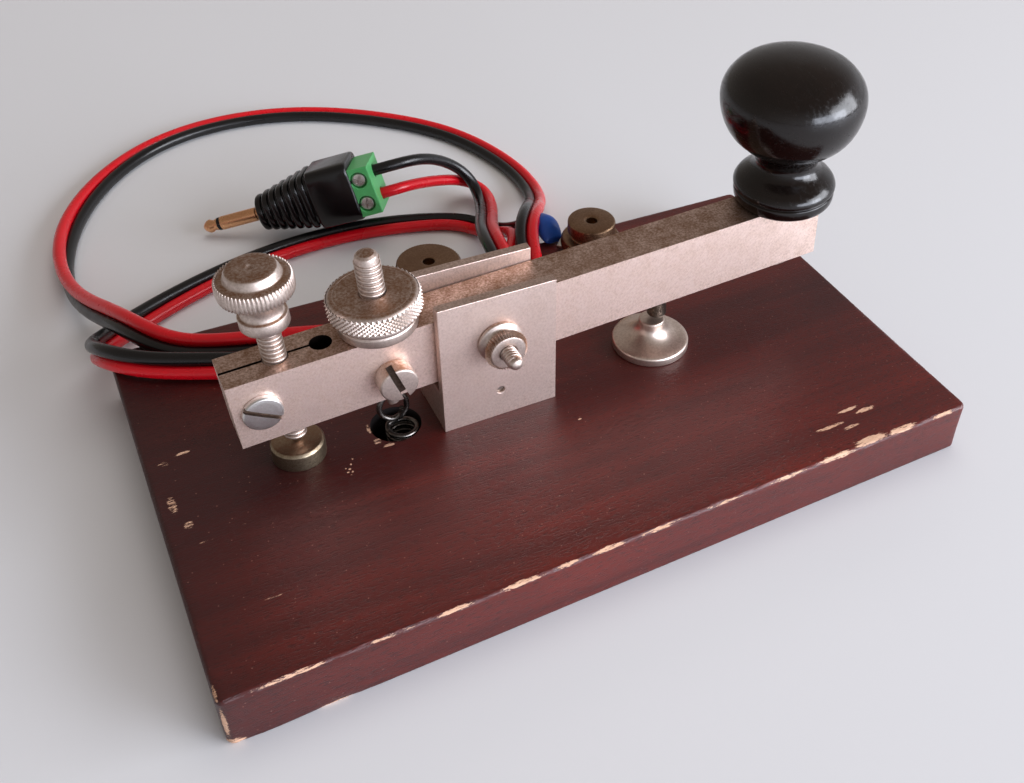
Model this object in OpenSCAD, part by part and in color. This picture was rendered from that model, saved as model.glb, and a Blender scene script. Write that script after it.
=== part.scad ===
// Straight telegraph key: a tilting metal lever on a wooden base, with two
// contacts, a coil return spring, two terminals and a twin lead to a jack plug.
// The origin is the middle of the underside of the base, +X points to the knob.

/* [Base] */
// Length of the wooden base
base_l = 155; // [145:1:200]
// Width of the wooden base
base_w = 92.5; // [91:0.5:140]
// Thickness of the wooden base
base_t = 12; // [11:0.5:20]
// Radius of the upright corners
base_corner_r = 3; // [1.5:0.5:8]
// Rounding of the long edges
base_edge_r = 0.8; // [0.4:0.1:1.4]
// Depth of the grooves and counterbores in the underside
under_depth = 5; // [4.6:0.1:6.5]

/* [Lever] */
// Middle of the lever, across the base
lever_y = 1; // [-4:0.5:4]
// Width of the lever bar
lever_w = 9; // [8:0.5:12]
// Height of the lever bar
lever_h = 14.4; // [12:0.2:16]
// Length from the pivot to the knob end
lever_front = 76.6; // [72:0.2:90]
// Length from the pivot to the adjusting end
lever_rear = 49.3; // [48:0.1:60]
// Tilt of the lever at rest, knob end up
rest_tilt = 3; // [2:0.25:4]
// Width of the sawn clamping slit
slit_w = 0.6; // [0.3:0.1:1]
// Radius of the hole that ends the slit
slit_hole_r = 2.05; // [1.5:0.05:2.4]

/* [Bracket and pivot] */
// Pivot axis, along the base from its middle
pivot_x = -12; // [-20:0.5:-6]
// Height of the pivot axis above the base
pivot_h = 19.4; // [18.4:0.1:21]
// Length of a cheek plate, along the base
cheek_l = 24; // [20:0.5:24]
// Height of a cheek plate
cheek_h = 30; // [28:0.5:34]
// Thickness of a cheek plate
cheek_t = 2; // [1.5:0.1:3]
// Side gap between lever and cheek
cheek_gap = 0.3; // [0.2:0.05:0.6]
// Height of the block that joins the cheeks
block_h = 9; // [8:0.25:10]
// Radius of the pivot screws' threaded part
pivot_thread_r = 1.5; // [1.3:0.05:1.8]
// Radius of the plain end that carries the lever
pivot_pin_r = 1; // [0.8:0.05:1.2]
// Depth of the lever's pivot bores
pivot_depth = 2.6; // [2:0.1:3.4]
// Radius of the lock nuts' flange
lock_flange_r = 4.5; // [3.8:0.1:5.5]
// Radius of the lock nuts' knurled ring
lock_ring_r = 3.6; // [3:0.1:4.4]
// Length of a lock nut
lock_l = 4.3; // [3.6:0.1:6]

/* [Contacts] */
// Gap between the front contacts at rest
contact_gap = 0.8; // [0.5:0.05:1.2]
// Distance of the contact pin from the pivot
contact_s = 38.8; // [34:0.2:46]
// Radius of the contact pin under the lever
contact_r = 2.1; // [1.6:0.1:2.4]
// Height of the front anvil
front_anvil_h = 7.1; // [6:0.1:8]
// Foot radius of the front anvil
front_anvil_r = 8.4; // [7:0.1:10]
// Radius of the front anvil's contact face
front_anvil_top_r = 2.8; // [2.2:0.1:3.4]
// Distance of the front anvil's middle behind the contact pin
front_anvil_back = 1.1; // [0:0.1:1.6]
// Height of the rear anvil
rear_anvil_h = 4; // [3:0.1:5]
// Radius of the rear anvil
rear_anvil_r = 5.05; // [4.4:0.05:6]
// Distance of the gap screw from the pivot
gap_screw_s = 39.5; // [38.6:0.1:41]
// Thread radius of the gap screw
gap_screw_r = 2.25; // [2:0.05:2.5]
// Radius of the gap screw's knurled head
gap_head_r = 6.7; // [5.5:0.1:8]
// Height of the gap screw's head above the lever
gap_head_rise = 14.7; // [13:0.1:18]

/* [Return spring and its tension screw] */
// Distance of the tension rod from the pivot
rod_s = 20.5; // [20:0.1:21.5]
// Radius of the tension rod
rod_r = 2.5; // [2.2:0.1:2.8]
// Height of the rod's end above the lever
rod_rise = 16.4; // [14:0.1:20]
// Radius of the tension nut's knurled disc
nut_r = 8.6; // [7:0.1:8.8]
// Height of the tension nut
nut_h = 7.8; // [6.5:0.1:9]
// Height of the tension nut's plain collar
nut_collar_h = 3.6; // [2.5:0.1:4.5]
// Distance of the key screw below the lever's middle line
key_drop = 1.8; // [1:0.1:2.4]
// Radius of the key screw's head
key_head_r = 3.65; // [3:0.05:4]
// Height of the key screw's head
key_head_l = 3.6; // [2.6:0.1:4.5]
// Height of the rod's spring eye above the base
eye_h = 8.2; // [7.6:0.1:9]
// Upward travel of the rod from where it stands
rod_up = 1.6; // [0.8:0.1:2]
// Downward travel of the rod from where it stands
rod_down = 0.8; // [0.4:0.1:1]
// Wire radius of the return spring
wire_r = 0.6; // [0.4:0.05:0.7]
// Radius of the spring coil, to the middle of the wire
coil_r = 2.85; // [2.4:0.05:3]
// Radius of the hole in the base for the spring
spring_hole_r = 5; // [5:0.1:5.6]

/* [Knob] */
// Distance of the knob's axis from the pivot
knob_s = 69.6; // [60:0.2:71]
// Height of the knob above the lever
knob_h = 33.7; // [28:0.1:40]
// Largest radius of the knob
knob_r = 14.9; // [12:0.1:18]
// Radius of the knob's foot
knob_foot_r = 10.9; // [9:0.1:13]
// Radius of the knob screw under the lever
knob_screw_r = 1.9; // [1.6:0.05:2.2]
// Radius of the knob screw's round head
knob_screw_head_r = 2.7; // [2.4:0.1:4]

/* [Terminals] */
// Position of the terminal nearer the lever's tail, along the base
left_terminal_x = -10.3; // [-12:0.1:-9]
// Position of the terminal nearer the knob, along the base
right_terminal_x = 30.5; // [29.5:0.1:34]
// Distance of the terminals from the middle of the base
terminal_y = 37.3; // [36.6:0.1:38]
// Radius of a terminal nut's large disc
terminal_r = 7.2; // [6:0.1:7.4]
// Radius of a terminal nut's small disc
terminal_small_r = 5.7; // [4.8:0.1:6.2]
// Height of a terminal nut
terminal_nut_h = 7.8; // [7:0.1:9]
// Radius of the terminal studs
terminal_stud_r = 1.3; // [1.1:0.05:1.6]

/* [Lead and plug] */
// Diameter of one wire of the lead
lead_d = 2.9; // [2.4:0.1:3]
// Radius of the plug's contact pin
plug_pin_r = 1.75; // [1.5:0.05:1.8]
// Length of the plug's contact pin
plug_pin_l = 14; // [12:0.5:16]
// Width of the plug's body, across its screws
plug_w = 14; // [13:0.1:14.5]
// Depth of the plug's body
plug_d = 14.4; // [13.6:0.1:14.8]
// Length of the plug's body
plug_l = 26; // [22:0.5:27]
// Length of the terminal block behind the plug's body
block_l = 6.2; // [5:0.1:7]

/* [Hidden] */
$fn = 48;

// Play between a turning or sliding piece and its seat
run_gap = 0.05;
// Play between pieces that are fixed together
fit_gap = 0.02;
// Cut that reaches past a face
past = 1;

base_top = base_t;
pivot_z = base_top + pivot_h;
half_w = lever_w / 2;
half_h = lever_h / 2;
cheek_in = half_w + cheek_gap;
cheek_out = cheek_in + cheek_t;

// Underside fittings: a strap lies against the groove's floor, a nut holds it
strap_t = 0.8;
strap_w = 6;
groove_w = 7;
counterbore_r = 5.4;
stud_r = 1.8;
stud_hole_r = stud_r + 0.1;
nut_t = 2.4;
nut_across = 8;
stud_end = under_depth - strap_t - nut_t - 0.6;

// A point of the lever's own frame, turned into the frame of the base
function on_bar(s, t) = [
  pivot_x + s * cos(rest_tilt) - t * sin(rest_tilt),
  pivot_z + s * sin(rest_tilt) + t * cos(rest_tilt)
];
// Height in the lever's frame at which the axis at s reaches the level z
function reach(s, z) = (z - pivot_z - s * sin(rest_tilt)) / cos(rest_tilt);

tip_gap = 0.12;
gap_tip_t = reach(-gap_screw_s, base_top + rear_anvil_h + tip_gap);
rear_anvil_x = on_bar(-gap_screw_s, gap_tip_t)[0];
contact_tip_t = reach(contact_s, base_top + front_anvil_h + contact_gap);
front_anvil_x = on_bar(contact_s, contact_tip_t)[0] - front_anvil_back;
clamp_s = gap_screw_s + gap_screw_r + 2.6;
slit_hole_s = gap_screw_s - gap_screw_r - slit_hole_r - 3.9;
key_t = -key_drop;
eye_z = base_top + eye_h;
eye_t = reach(-rod_s, eye_z);
eye_x = on_bar(-rod_s, eye_t)[0];
bracket_screw_x = [pivot_x - cheek_l / 4, pivot_x + cheek_l / 4];

// Turned outlines, as radius and height pairs, run from the axis to the axis
module turned(outline) rotate_extrude($fn = 64) polygon(outline);
// Arc of an outline about c, from angle a to angle b
function arc(c, r, a, b, n = 8) = [
  for (i = [0:n]) [c[0] + r * cos(a + (b - a) * i / n), c[1] + r * sin(a + (b - a) * i / n)]
];
// Curve that runs smoothly through points, with n steps between two of them
function between(a, b, c, d, t) =
  (2 * b + (c - a) * t + (2 * a - 5 * b + 4 * c - d) * t * t
    + (3 * b - a - 3 * c + d) * t * t * t) / 2;
function smooth(p, n) = concat(
  [for (i = [0:len(p) - 2]) for (k = [0:n - 1])
    between(p[max(i - 1, 0)], p[i], p[i + 1], p[min(i + 2, len(p) - 1)], k / n)],
  [p[len(p) - 1]]
);

// Tube along a path: rings are carried along so that they do not twist
function unit(v) = v / norm(v);
function heading(p, i) = unit(p[min(i + 1, len(p) - 1)] - p[max(i - 1, 0)]);
function carried(p, side, i = 0) =
  i == len(p) ? [] :
  let (t = heading(p, i), s = unit(side - (side * t) * t))
  concat([s], carried(p, s, i + 1));
module skin(rings) {
  n = len(rings[0]);
  last = len(rings) - 1;
  polyhedron(
    points = [for (ring = rings) for (q = ring) q],
    faces = concat(
      [[for (k = [0:n - 1]) k]],
      [for (i = [0:last - 1]) for (k = [0:n - 1])
        [i * n + k, (i + 1) * n + k, (i + 1) * n + (k + 1) % n, i * n + (k + 1) % n]],
      [[for (k = [n - 1:-1:0]) last * n + k]]
    ),
    convexity = 10
  );
}
module tube(p, r, sides = 8) {
  u = carried(p, [0.3, 0.2, 1]);
  skin([for (i = [0:len(p) - 1]) let (v = cross(heading(p, i), u[i]))
    [for (k = [0:sides - 1])
      p[i] + r * cos(360 * k / sides) * u[i] + r * sin(360 * k / sides) * v]]);
}

// The lever's frame: x along the bar, z across its top, origin on the pivot
module on_lever(s = 0, t = 0)
  translate([pivot_x, lever_y, pivot_z]) rotate([0, -rest_tilt, 0]) translate([s, 0, t]) children();
// A cylinder along Y between two places on the Y axis
module rod_y(r, y0, y1) translate([0, y0, 0]) rotate([-90, 0, 0]) cylinder(r = r, h = y1 - y0);
// A hexagonal nut with a round bore
module hex_nut(across, t, bore) difference() {
  cylinder(r = across / 2 / cos(30), h = t, $fn = 6);
  translate([0, 0, -past]) cylinder(r = bore, h = t + 2 * past);
}
module box_at(lo, hi) translate(lo) cube(hi - lo);

// Base

function strap_ends_front() = [[front_anvil_x, lever_y], [right_terminal_x, terminal_y]];
function strap_ends_rear() = [[bracket_screw_x[1], lever_y], [left_terminal_x, terminal_y]];
// A flat bar with round ends between two points of the underside
module link(ends, width, t) {
  d = ends[1] - ends[0];
  translate([ends[0][0], ends[0][1], 0]) rotate([0, 0, atan2(d[1], d[0])]) {
    translate([0, -width / 2, 0]) cube([norm(d), width, t]);
    cylinder(r = width / 2, h = t);
    translate([norm(d), 0, 0]) cylinder(r = width / 2, h = t);
  }
}
module edge_cut(l) rotate([0, 90, 0]) translate([0, 0, -l / 2]) linear_extrude(l) difference() {
  translate([-past, -past]) square(past + base_edge_r);
  translate([base_edge_r, base_edge_r]) circle(base_edge_r);
}
module corner_cut() rotate_extrude(angle = 90) difference() {
  translate([base_corner_r - base_edge_r, -base_edge_r]) square(base_edge_r + past);
  translate([base_corner_r - base_edge_r, -base_edge_r]) circle(base_edge_r);
}
module base_board() color([0.3, 0.1, 0.08]) difference() {
  union() {
    box_at([-base_l / 2 + base_corner_r, -base_w / 2, 0], [base_l / 2 - base_corner_r, base_w / 2, base_t]);
    box_at([-base_l / 2, -base_w / 2 + base_corner_r, 0], [base_l / 2, base_w / 2 - base_corner_r, base_t]);
    for (x = [-1, 1]) for (y = [-1, 1])
      translate([x * (base_l / 2 - base_corner_r), y * (base_w / 2 - base_corner_r), 0])
        cylinder(r = base_corner_r, h = base_t);
  }
  for (a = [0, 180]) rotate([0, 0, a]) {
    translate([0, -base_w / 2, base_t]) rotate([-90, 0, 0]) edge_cut(base_l - 2 * base_corner_r);
    translate([base_l / 2, 0, base_t]) rotate([-90, 0, 90]) edge_cut(base_w - 2 * base_corner_r);
    translate([base_l / 2 - base_corner_r, base_w / 2 - base_corner_r, base_t]) corner_cut();
    translate([-base_l / 2 + base_corner_r, base_w / 2 - base_corner_r, base_t])
      rotate([0, 0, 90]) corner_cut();
  }
  for (p = [[front_anvil_x, lever_y], [rear_anvil_x, lever_y], [left_terminal_x, terminal_y],
      [right_terminal_x, terminal_y], [bracket_screw_x[0], lever_y], [bracket_screw_x[1], lever_y]])
    translate([p[0], p[1], -past]) {
      cylinder(r = stud_hole_r, h = base_t + 2 * past);
      cylinder(r = counterbore_r, h = under_depth + past);
    }
  for (ends = [strap_ends_front(), strap_ends_rear()])
    translate([0, 0, -past]) link(ends, groove_w, under_depth + past);
  translate([coil_x - 0.9, coil_y + 1, -past]) cylinder(r = spring_hole_r, h = base_t + 2 * past);
  translate([coil_x, coil_y, anchor_z]) rod_y(anchor_r + fit_gap, -anchor_l / 2, anchor_l / 2);
  box_at([coil_x - anchor_r - fit_gap, coil_y - anchor_l / 2, -past],
    [coil_x + anchor_r + fit_gap, coil_y + anchor_l / 2, anchor_z]);
}

// Bracket

module cheek(out_sign) {
  y0 = lever_y + out_sign * cheek_in;
  y1 = lever_y + out_sign * cheek_out;
  difference() {
    box_at([pivot_x - cheek_l / 2, min(y0, y1), base_top],
      [pivot_x + cheek_l / 2, max(y0, y1), base_top + cheek_h]);
    translate([pivot_x, 0, pivot_z])
      rod_y(pivot_thread_r + fit_gap, min(y0, y1) - past, max(y0, y1) + past);
    for (p = dowel_at) translate([p[0], 0, p[1]])
      rod_y(dowel_r + fit_gap, min(y0, y1) - past, max(y0, y1) + past);
  }
}
module near_cheek() color([0.62, 0.58, 0.54]) cheek(-1);
module far_cheek() color([0.6, 0.56, 0.52]) cheek(1);

dowel_r = 0.8;
dowel_at = [
  [pivot_x, base_top + block_h * 0.73],
  [pivot_x - cheek_l * 0.36, base_top + block_h * 0.45],
  [pivot_x + cheek_l * 0.36, base_top + block_h * 0.45]
];
module bracket_block() color([0.55, 0.5, 0.45]) difference() {
  box_at([pivot_x - cheek_l / 2, lever_y - cheek_in, base_top],
    [pivot_x + cheek_l / 2, lever_y + cheek_in, base_top + block_h]);
  for (x = bracket_screw_x) translate([x, lever_y, base_top - past])
    cylinder(r = stud_r + fit_gap, h = block_h - 2.2 + past);
  for (p = dowel_at) translate([p[0], lever_y, p[1]])
    rod_y(dowel_r + fit_gap, -cheek_in - past, cheek_in + past);
}
dowel_sink = 0.5;
module bracket_dowels() color([0.7, 0.68, 0.64])
  for (i = [0:2]) translate([dowel_at[i][0], lever_y, dowel_at[i][1]])
    rod_y(dowel_r, -cheek_out + (i == 0 ? dowel_sink : 0), cheek_out - (i == 0 ? dowel_sink : 0));

screw_head_r = 3.5;
screw_head_t = 2.2;
module bracket_screws() color([0.6, 0.6, 0.58]) for (i = [0, 1])
  translate([bracket_screw_x[i], lever_y, 0]) difference() {
    union() {
      seat = under_depth - (i == 1 ? strap_t : 0);
      translate([0, 0, seat - screw_head_t]) cylinder(r = screw_head_r, h = screw_head_t);
      translate([0, 0, seat - screw_head_t])
        cylinder(r = stud_r, h = base_top + block_h - 3.2 - seat + screw_head_t);
    }
    box_at([-screw_head_r - past, -0.5, -past],
      [screw_head_r + past, 0.5, under_depth - (i == 1 ? strap_t : 0) - screw_head_t + 0.9]);
  }

// Pivot screws and their lock nuts

tip_out = 4.3;
module pivot_screw() turned(concat(
  [[0, cheek_in - half_w - cheek_gap - pivot_depth + 0.2]],
  [[pivot_pin_r, cheek_in - half_w - cheek_gap - pivot_depth + 0.2]],
  [[pivot_pin_r, cheek_gap + 0.1], [pivot_thread_r, cheek_gap + 0.1 + pivot_thread_r - pivot_pin_r]],
  [for (q = arc([0, cheek_gap + cheek_t + lock_l + tip_out - pivot_thread_r], pivot_thread_r, 0, 90)) q]
));
// The screw's own axis is Z, with the lever's face at zero
module near_side() translate([pivot_x, lever_y - half_w, pivot_z]) rotate([90, 0, 0]) children();
module far_side() translate([pivot_x, lever_y + half_w, pivot_z]) rotate([-90, 0, 0]) children();
module near_pivot_screw() color([0.72, 0.7, 0.66]) near_side() pivot_screw();
module far_pivot_screw() color([0.72, 0.7, 0.66]) far_side() pivot_screw();

module lock_nut() {
  foot = cheek_gap + cheek_t + run_gap;
  flange_t = lock_l * 0.28;
  ring_t = lock_l * 0.44;
  neck_r = lock_ring_r - 0.9;
  bore = pivot_thread_r + run_gap;
  turned(concat(
    [[bore, foot], [lock_flange_r - 0.2, foot], [lock_flange_r, foot + 0.2]],
    [[lock_flange_r, foot + flange_t - 0.2], [lock_flange_r - 0.2, foot + flange_t]],
    [[neck_r + 0.4, foot + flange_t], [neck_r, foot + flange_t + 0.4]],
    [[neck_r, foot + lock_l - ring_t - 0.3], [neck_r + 0.4, foot + lock_l - ring_t]],
    [[lock_ring_r, foot + lock_l - ring_t], [lock_ring_r, foot + lock_l - 0.3]],
    [[lock_ring_r - 0.3, foot + lock_l], [bore, foot + lock_l]]
  ));
}
module near_lock_nut() color([0.7, 0.68, 0.64]) near_side() lock_nut();
module far_lock_nut() color([0.7, 0.68, 0.64]) far_side() lock_nut();

// Contacts on the base

module front_anvil() color([0.6, 0.57, 0.53]) translate([front_anvil_x, lever_y, 0]) {
  rim = 1.9;
  bell = front_anvil_h - rim - 0.9;
  foot_r = front_anvil_r - 0.6;
  translate([0, 0, base_top]) turned(concat(
    [[0, 0], [front_anvil_r - 0.3, 0], [front_anvil_r, 0.3], [front_anvil_r, rim]],
    [[front_anvil_r - 0.3, rim + 0.4], [foot_r, rim + 0.6]],
    [for (i = [1:8]) let (a = 90 * i / 8)
      [foot_r - (foot_r - front_anvil_top_r + 0.5) * sin(a), rim + 0.6 + bell * 0.8 * (1 - cos(a))]],
    [[front_anvil_top_r, rim + 0.6 + bell * 0.9], [front_anvil_top_r, front_anvil_h - 0.2]],
    [[front_anvil_top_r - 0.2, front_anvil_h], [0, front_anvil_h]]
  ));
  translate([0, 0, stud_end]) cylinder(r = stud_r, h = base_top + 0.5 - stud_end);
}
module rear_anvil() color([0.62, 0.55, 0.42]) translate([rear_anvil_x, lever_y, 0]) {
  edge = 0.5;
  translate([0, 0, base_top]) turned([
    [0, 0], [rear_anvil_r, 0], [rear_anvil_r, rear_anvil_h - edge],
    [rear_anvil_r - edge, rear_anvil_h], [0, rear_anvil_h]
  ]);
  translate([0, 0, stud_end + strap_t]) cylinder(r = stud_r, h = base_top + 0.5 - stud_end - strap_t);
}
module anvil_nuts() color([0.6, 0.6, 0.58]) {
  translate([front_anvil_x, lever_y, under_depth - strap_t - nut_t]) hex_nut(nut_across, nut_t, stud_r + fit_gap);
  translate([rear_anvil_x, lever_y, under_depth - nut_t]) hex_nut(nut_across, nut_t, stud_r + fit_gap);
}
module strap(ends) difference() {
  translate([0, 0, under_depth - strap_t]) link(ends, strap_w, strap_t);
  for (p = ends) translate([p[0], p[1], 0]) cylinder(r = stud_hole_r, h = under_depth + past);
}
module front_strap() color([0.72, 0.55, 0.25]) strap(strap_ends_front());
module rear_strap() color([0.72, 0.55, 0.25]) strap(strap_ends_rear());

// Terminals

washer_t = 0.8;
lug_t = 0.8;
washer_r = 4.6;
nut_seat = base_top + washer_t + lug_t;
module terminal_stud(x) translate([x, terminal_y, 0]) {
  head = under_depth - strap_t;
  translate([0, 0, head - nut_t]) cylinder(r = nut_across / 2 / cos(30), h = nut_t, $fn = 6);
  translate([0, 0, head - 0.1]) cylinder(r = terminal_stud_r, h = nut_seat + terminal_nut_h - 2 - head + 0.1);
}
module left_terminal_stud() color([0.5, 0.42, 0.3]) terminal_stud(left_terminal_x);
module right_terminal_stud() color([0.5, 0.42, 0.3]) terminal_stud(right_terminal_x);
module terminal_washers() color([0.5, 0.43, 0.33])
  for (x = [left_terminal_x, right_terminal_x]) translate([x, terminal_y, base_top])
    difference() {
      cylinder(r = washer_r, h = washer_t);
      translate([0, 0, -past]) cylinder(r = terminal_stud_r + 0.2, h = washer_t + 2 * past);
    }
// Nut with its large disc below; the other terminal carries the same nut upside down
module terminal_nut() {
  big = terminal_nut_h * 0.42;
  groove = terminal_nut_h * 0.16;
  ease = 0.3;
  bore = terminal_stud_r + run_gap;
  turned([
    [bore, 0], [terminal_r - ease, 0], [terminal_r, ease], [terminal_r, big - ease],
    [terminal_r - ease, big], [terminal_small_r - 0.9, big], [terminal_small_r - 0.9, big + groove],
    [terminal_small_r, big + groove], [terminal_small_r, terminal_nut_h - ease],
    [terminal_small_r - ease, terminal_nut_h], [bore, terminal_nut_h]
  ]);
}
module left_terminal_nut() color([0.42, 0.34, 0.24])
  translate([left_terminal_x, terminal_y, nut_seat + terminal_nut_h + run_gap]) mirror([0, 0, 1]) terminal_nut();
module right_terminal_nut() color([0.42, 0.34, 0.24])
  translate([right_terminal_x, terminal_y, nut_seat + run_gap]) terminal_nut();

// Crimp lugs: a ring on the stud, a tongue and a barrel inside a vinyl sleeve
sleeve_r = 2.75;
sleeve_z = base_top + 2.9;
left_sleeve_from = [-4.3, 36.9];
left_sleeve_to = [0.4, 36.4];
right_sleeve_from = [23.7, 43];
right_sleeve_to = [23.6, 49.6];
module ring_lug(stud, from, to) {
  z0 = base_top + washer_t;
  difference() {
    union() {
      translate([stud[0], stud[1], z0]) cylinder(r = 4.2, h = lug_t);
      translate([0, 0, z0]) link([stud, from - unit(to - from) * 1.05], 4, lug_t);
      barrel(from, to, 1.9);
    }
    translate([stud[0], stud[1], z0 - past]) cylinder(r = terminal_stud_r + 0.2, h = lug_t + 2 * past);
  }
}
// A round bar between two points at the height of the sleeves
module barrel(from, to, r) {
  d = to - from;
  translate([from[0], from[1], sleeve_z]) rotate([0, 90, atan2(d[1], d[0])]) cylinder(r = r, h = norm(d));
}
module sleeve(from, to) difference() {
  d = unit(to - from);
  barrel(from + d, to + d * 1.5, sleeve_r);
  barrel(from - d, to + d * fit_gap, 1.9 + fit_gap);
  barrel(from, to + d * 3, lead_d / 2 + fit_gap);
}
// Where a wire leaves its sleeve, and how far along its way a point lies
function mouth(from, to, far = 0) = let (d = unit(to - from), q = to + d * (1.55 + far)) [q[0], q[1], sleeve_z];
module left_lug() color([0.75, 0.75, 0.72])
  ring_lug([left_terminal_x, terminal_y], left_sleeve_from, left_sleeve_to);
module right_lug() color([0.75, 0.75, 0.72])
  ring_lug([right_terminal_x, terminal_y], right_sleeve_from, right_sleeve_to);
module left_sleeve() color([0.7, 0.1, 0.1]) sleeve(left_sleeve_from, left_sleeve_to);
module right_sleeve() color([0.1, 0.25, 0.7]) sleeve(right_sleeve_from, right_sleeve_to);

// Lever

module lever() color([0.62, 0.57, 0.52]) on_lever() difference() {
  box_at([-lever_rear, -half_w, -half_h], [lever_front, half_w, half_h]);
  for (side = [-1, 1]) rod_y(pivot_pin_r + run_gap,
    side > 0 ? half_w - pivot_depth : -half_w - past, side > 0 ? half_w + past : -half_w + pivot_depth);
  box_at([-lever_rear - past, -slit_w / 2, -half_h - past], [-slit_hole_s, slit_w / 2, half_h + past]);
  translate([-slit_hole_s, 0, -half_h - past]) cylinder(r = slit_hole_r, h = lever_h + 2 * past);
  translate([-gap_screw_s, 0, -half_h - past])
    cylinder(r = gap_screw_r + run_gap, h = lever_h + 2 * past);
  translate([-clamp_s, 0, clamp_t]) rod_y(clamp_r + fit_gap, -half_w - past, half_w + past);
  translate([-rod_s, 0, -half_h - past]) cylinder(r = rod_r + run_gap, h = lever_h + 2 * past);
  translate([-rod_s, 0, key_t]) rod_y(key_shank_r + fit_gap, -half_w - past, 0);
  translate([contact_s, 0, -half_h - past]) cylinder(r = contact_shank_r + fit_gap, h = 6 + past);
  translate([knob_s, 0, -half_h - past]) cylinder(r = knob_screw_r + 0.1, h = lever_h + 2 * past);
}
contact_shank_r = 1.4;
module contact_pin() color([0.7, 0.66, 0.6]) on_lever(contact_s) {
  ease = 0.3;
  translate([0, 0, contact_tip_t]) turned([
    [0, 0], [contact_r - ease, 0], [contact_r, ease],
    [contact_r, -contact_tip_t - half_h], [contact_shank_r, -contact_tip_t - half_h],
    [contact_shank_r, -contact_tip_t - half_h + 5.8], [0, -contact_tip_t - half_h + 5.8]
  ]);
}
clamp_r = 1.4;
clamp_t = 0;
clamp_head_r = 3.6;
clamp_head_h = 1.2;
module clamp_screw() color([0.7, 0.7, 0.68]) on_lever(-clamp_s, clamp_t) difference() {
  union() {
    rod_y(clamp_r, -half_w - 0.1, half_w - 0.4);
    rod_y(clamp_head_r, -half_w - clamp_head_h, -half_w);
  }
  rotate([0, 6, 0]) box_at([-0.55, -half_w - clamp_head_h - past, -clamp_head_r - past],
    [0.55, -half_w - clamp_head_h + 0.7, clamp_head_r + past]);
}
module gap_screw() color([0.66, 0.62, 0.57]) on_lever(-gap_screw_s) {
  top = half_h + gap_head_rise;
  collar = top - 6.9;
  rim0 = top;
  rim1 = rim0 + 3.4;
  collar_r = 4.15;
  dome = 1.1;
  turned(concat(
    [for (q = arc([0, gap_tip_t + dome], dome, -90, 0, 4)) q],
    [[gap_screw_r, gap_tip_t + dome + 0.8], [gap_screw_r, collar]],
    [[collar_r - 0.3, collar], [collar_r, collar + 0.3], [collar_r, collar + 2.0]],
    [[collar_r - 0.3, collar + 2.3]],
    smooth([[collar_r - 1, collar + 2.5], [collar_r - 1.2, collar + 4.2], [collar_r, collar + 6.2]], 4),
    [[gap_head_r - 0.5, rim0], [gap_head_r, rim0 + 0.5], [gap_head_r, rim1 - 0.4]],
    [[gap_head_r - 0.4, rim1], [4.9, rim1 + 0.1], [4.6, rim1 + 0.3], [4.2, rim1 + 1.5]],
    [[3.9, rim1 + 1.9], [1.2, rim1 + 1.9], [0.8, rim1 + 1.4], [0, rim1 + 1.3]]
  ));
}
module tension_nut() color([0.62, 0.57, 0.52]) on_lever(-rod_s, half_h + run_gap) {
  bore = rod_r + run_gap;
  ease = 0.4;
  turned([
    [bore, 0], [nut_r - 1.2 - ease, 0], [nut_r - 1.2, ease], [nut_r - 1.2, nut_collar_h],
    [nut_r - ease, nut_collar_h], [nut_r, nut_collar_h + ease], [nut_r, nut_h - ease],
    [nut_r - ease, nut_h], [bore, nut_h]
  ]);
}
key_shank_r = 1.5;
key_depth = 0.9;
nub_r = 1.45;
nub_half = 1;
eye_r = 1;
nub_below = 2.2;
module tension_rod() color([0.66, 0.6, 0.54]) on_lever(-rod_s) difference() {
  dome = 0.9;
  nub_top = -half_h + 1;
  turned([
    [0, eye_t - nub_below], [nub_r - 0.4, eye_t - nub_below], [nub_r, eye_t - nub_below + 0.4],
    [nub_r, nub_top - 0.6], [rod_r, nub_top], [rod_r, half_h + rod_rise - dome],
    [rod_r - 0.4, half_h + rod_rise - 0.45], [rod_r - 1.1, half_h + rod_rise - 0.1],
    [0, half_h + rod_rise]
  ]);
  box_at([-key_shank_r - run_gap, -rod_r - past, key_t - rod_up - key_shank_r - 0.1],
    [key_shank_r + run_gap, -rod_r + key_depth, key_t + rod_down + key_shank_r + 0.1]);
  for (side = [-1, 1]) translate([side * (nub_half + nub_r), 0, eye_t])
    cube([2 * nub_r, 2 * nub_r + past, 2 * nub_below + past], center = true);
  rotate([0, rest_tilt, 0]) translate([-nub_r - past - eye_slip, 0, 0]) rotate([0, 90, 0])
    translate([-eye_below, 0, 0]) cylinder(r = eye_r, h = 2 * (nub_r + past) + 2 * eye_slip);
}
// The eye is drilled level, so it turns back by the lever's tilt about the rod
eye_below = eye_t / cos(rest_tilt);
eye_slip = abs(eye_t) * tan(rest_tilt);
module key_screw() color([0.68, 0.64, 0.58]) on_lever(-rod_s, key_t) difference() {
  union() {
    rod_y(key_shank_r, -half_w - 0.1, -rod_r + key_depth - run_gap);
    rod_y(key_head_r, -half_w - key_head_l, -half_w);
  }
  rotate([0, -26, 0]) box_at([-0.85, -half_w - key_head_l - past, -key_head_r - past],
    [0.85, -half_w - 1.3, key_head_r + past]);
}

// Return spring: a coil in the base's hole, a loop through the rod's eye and a
// smaller loop round the anchor pin
coil_x = eye_x + 1;
coil_y = lever_y - 1.3;
coil_pitch = wire_r * 2 + 0.12;
coil_top = base_top + 0.2;
anchor_r = 0.9;
anchor_z = 1.9;
anchor_l = 2 * spring_hole_r + 8;
top_loop_r = 2.7;
top_loop_z = eye_z - top_loop_r - 0.1;
low_loop_r = 1.6;
coil_bottom = anchor_z + low_loop_r + 1.5;
coil_turns = floor((coil_top - coil_bottom) / coil_pitch);
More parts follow.
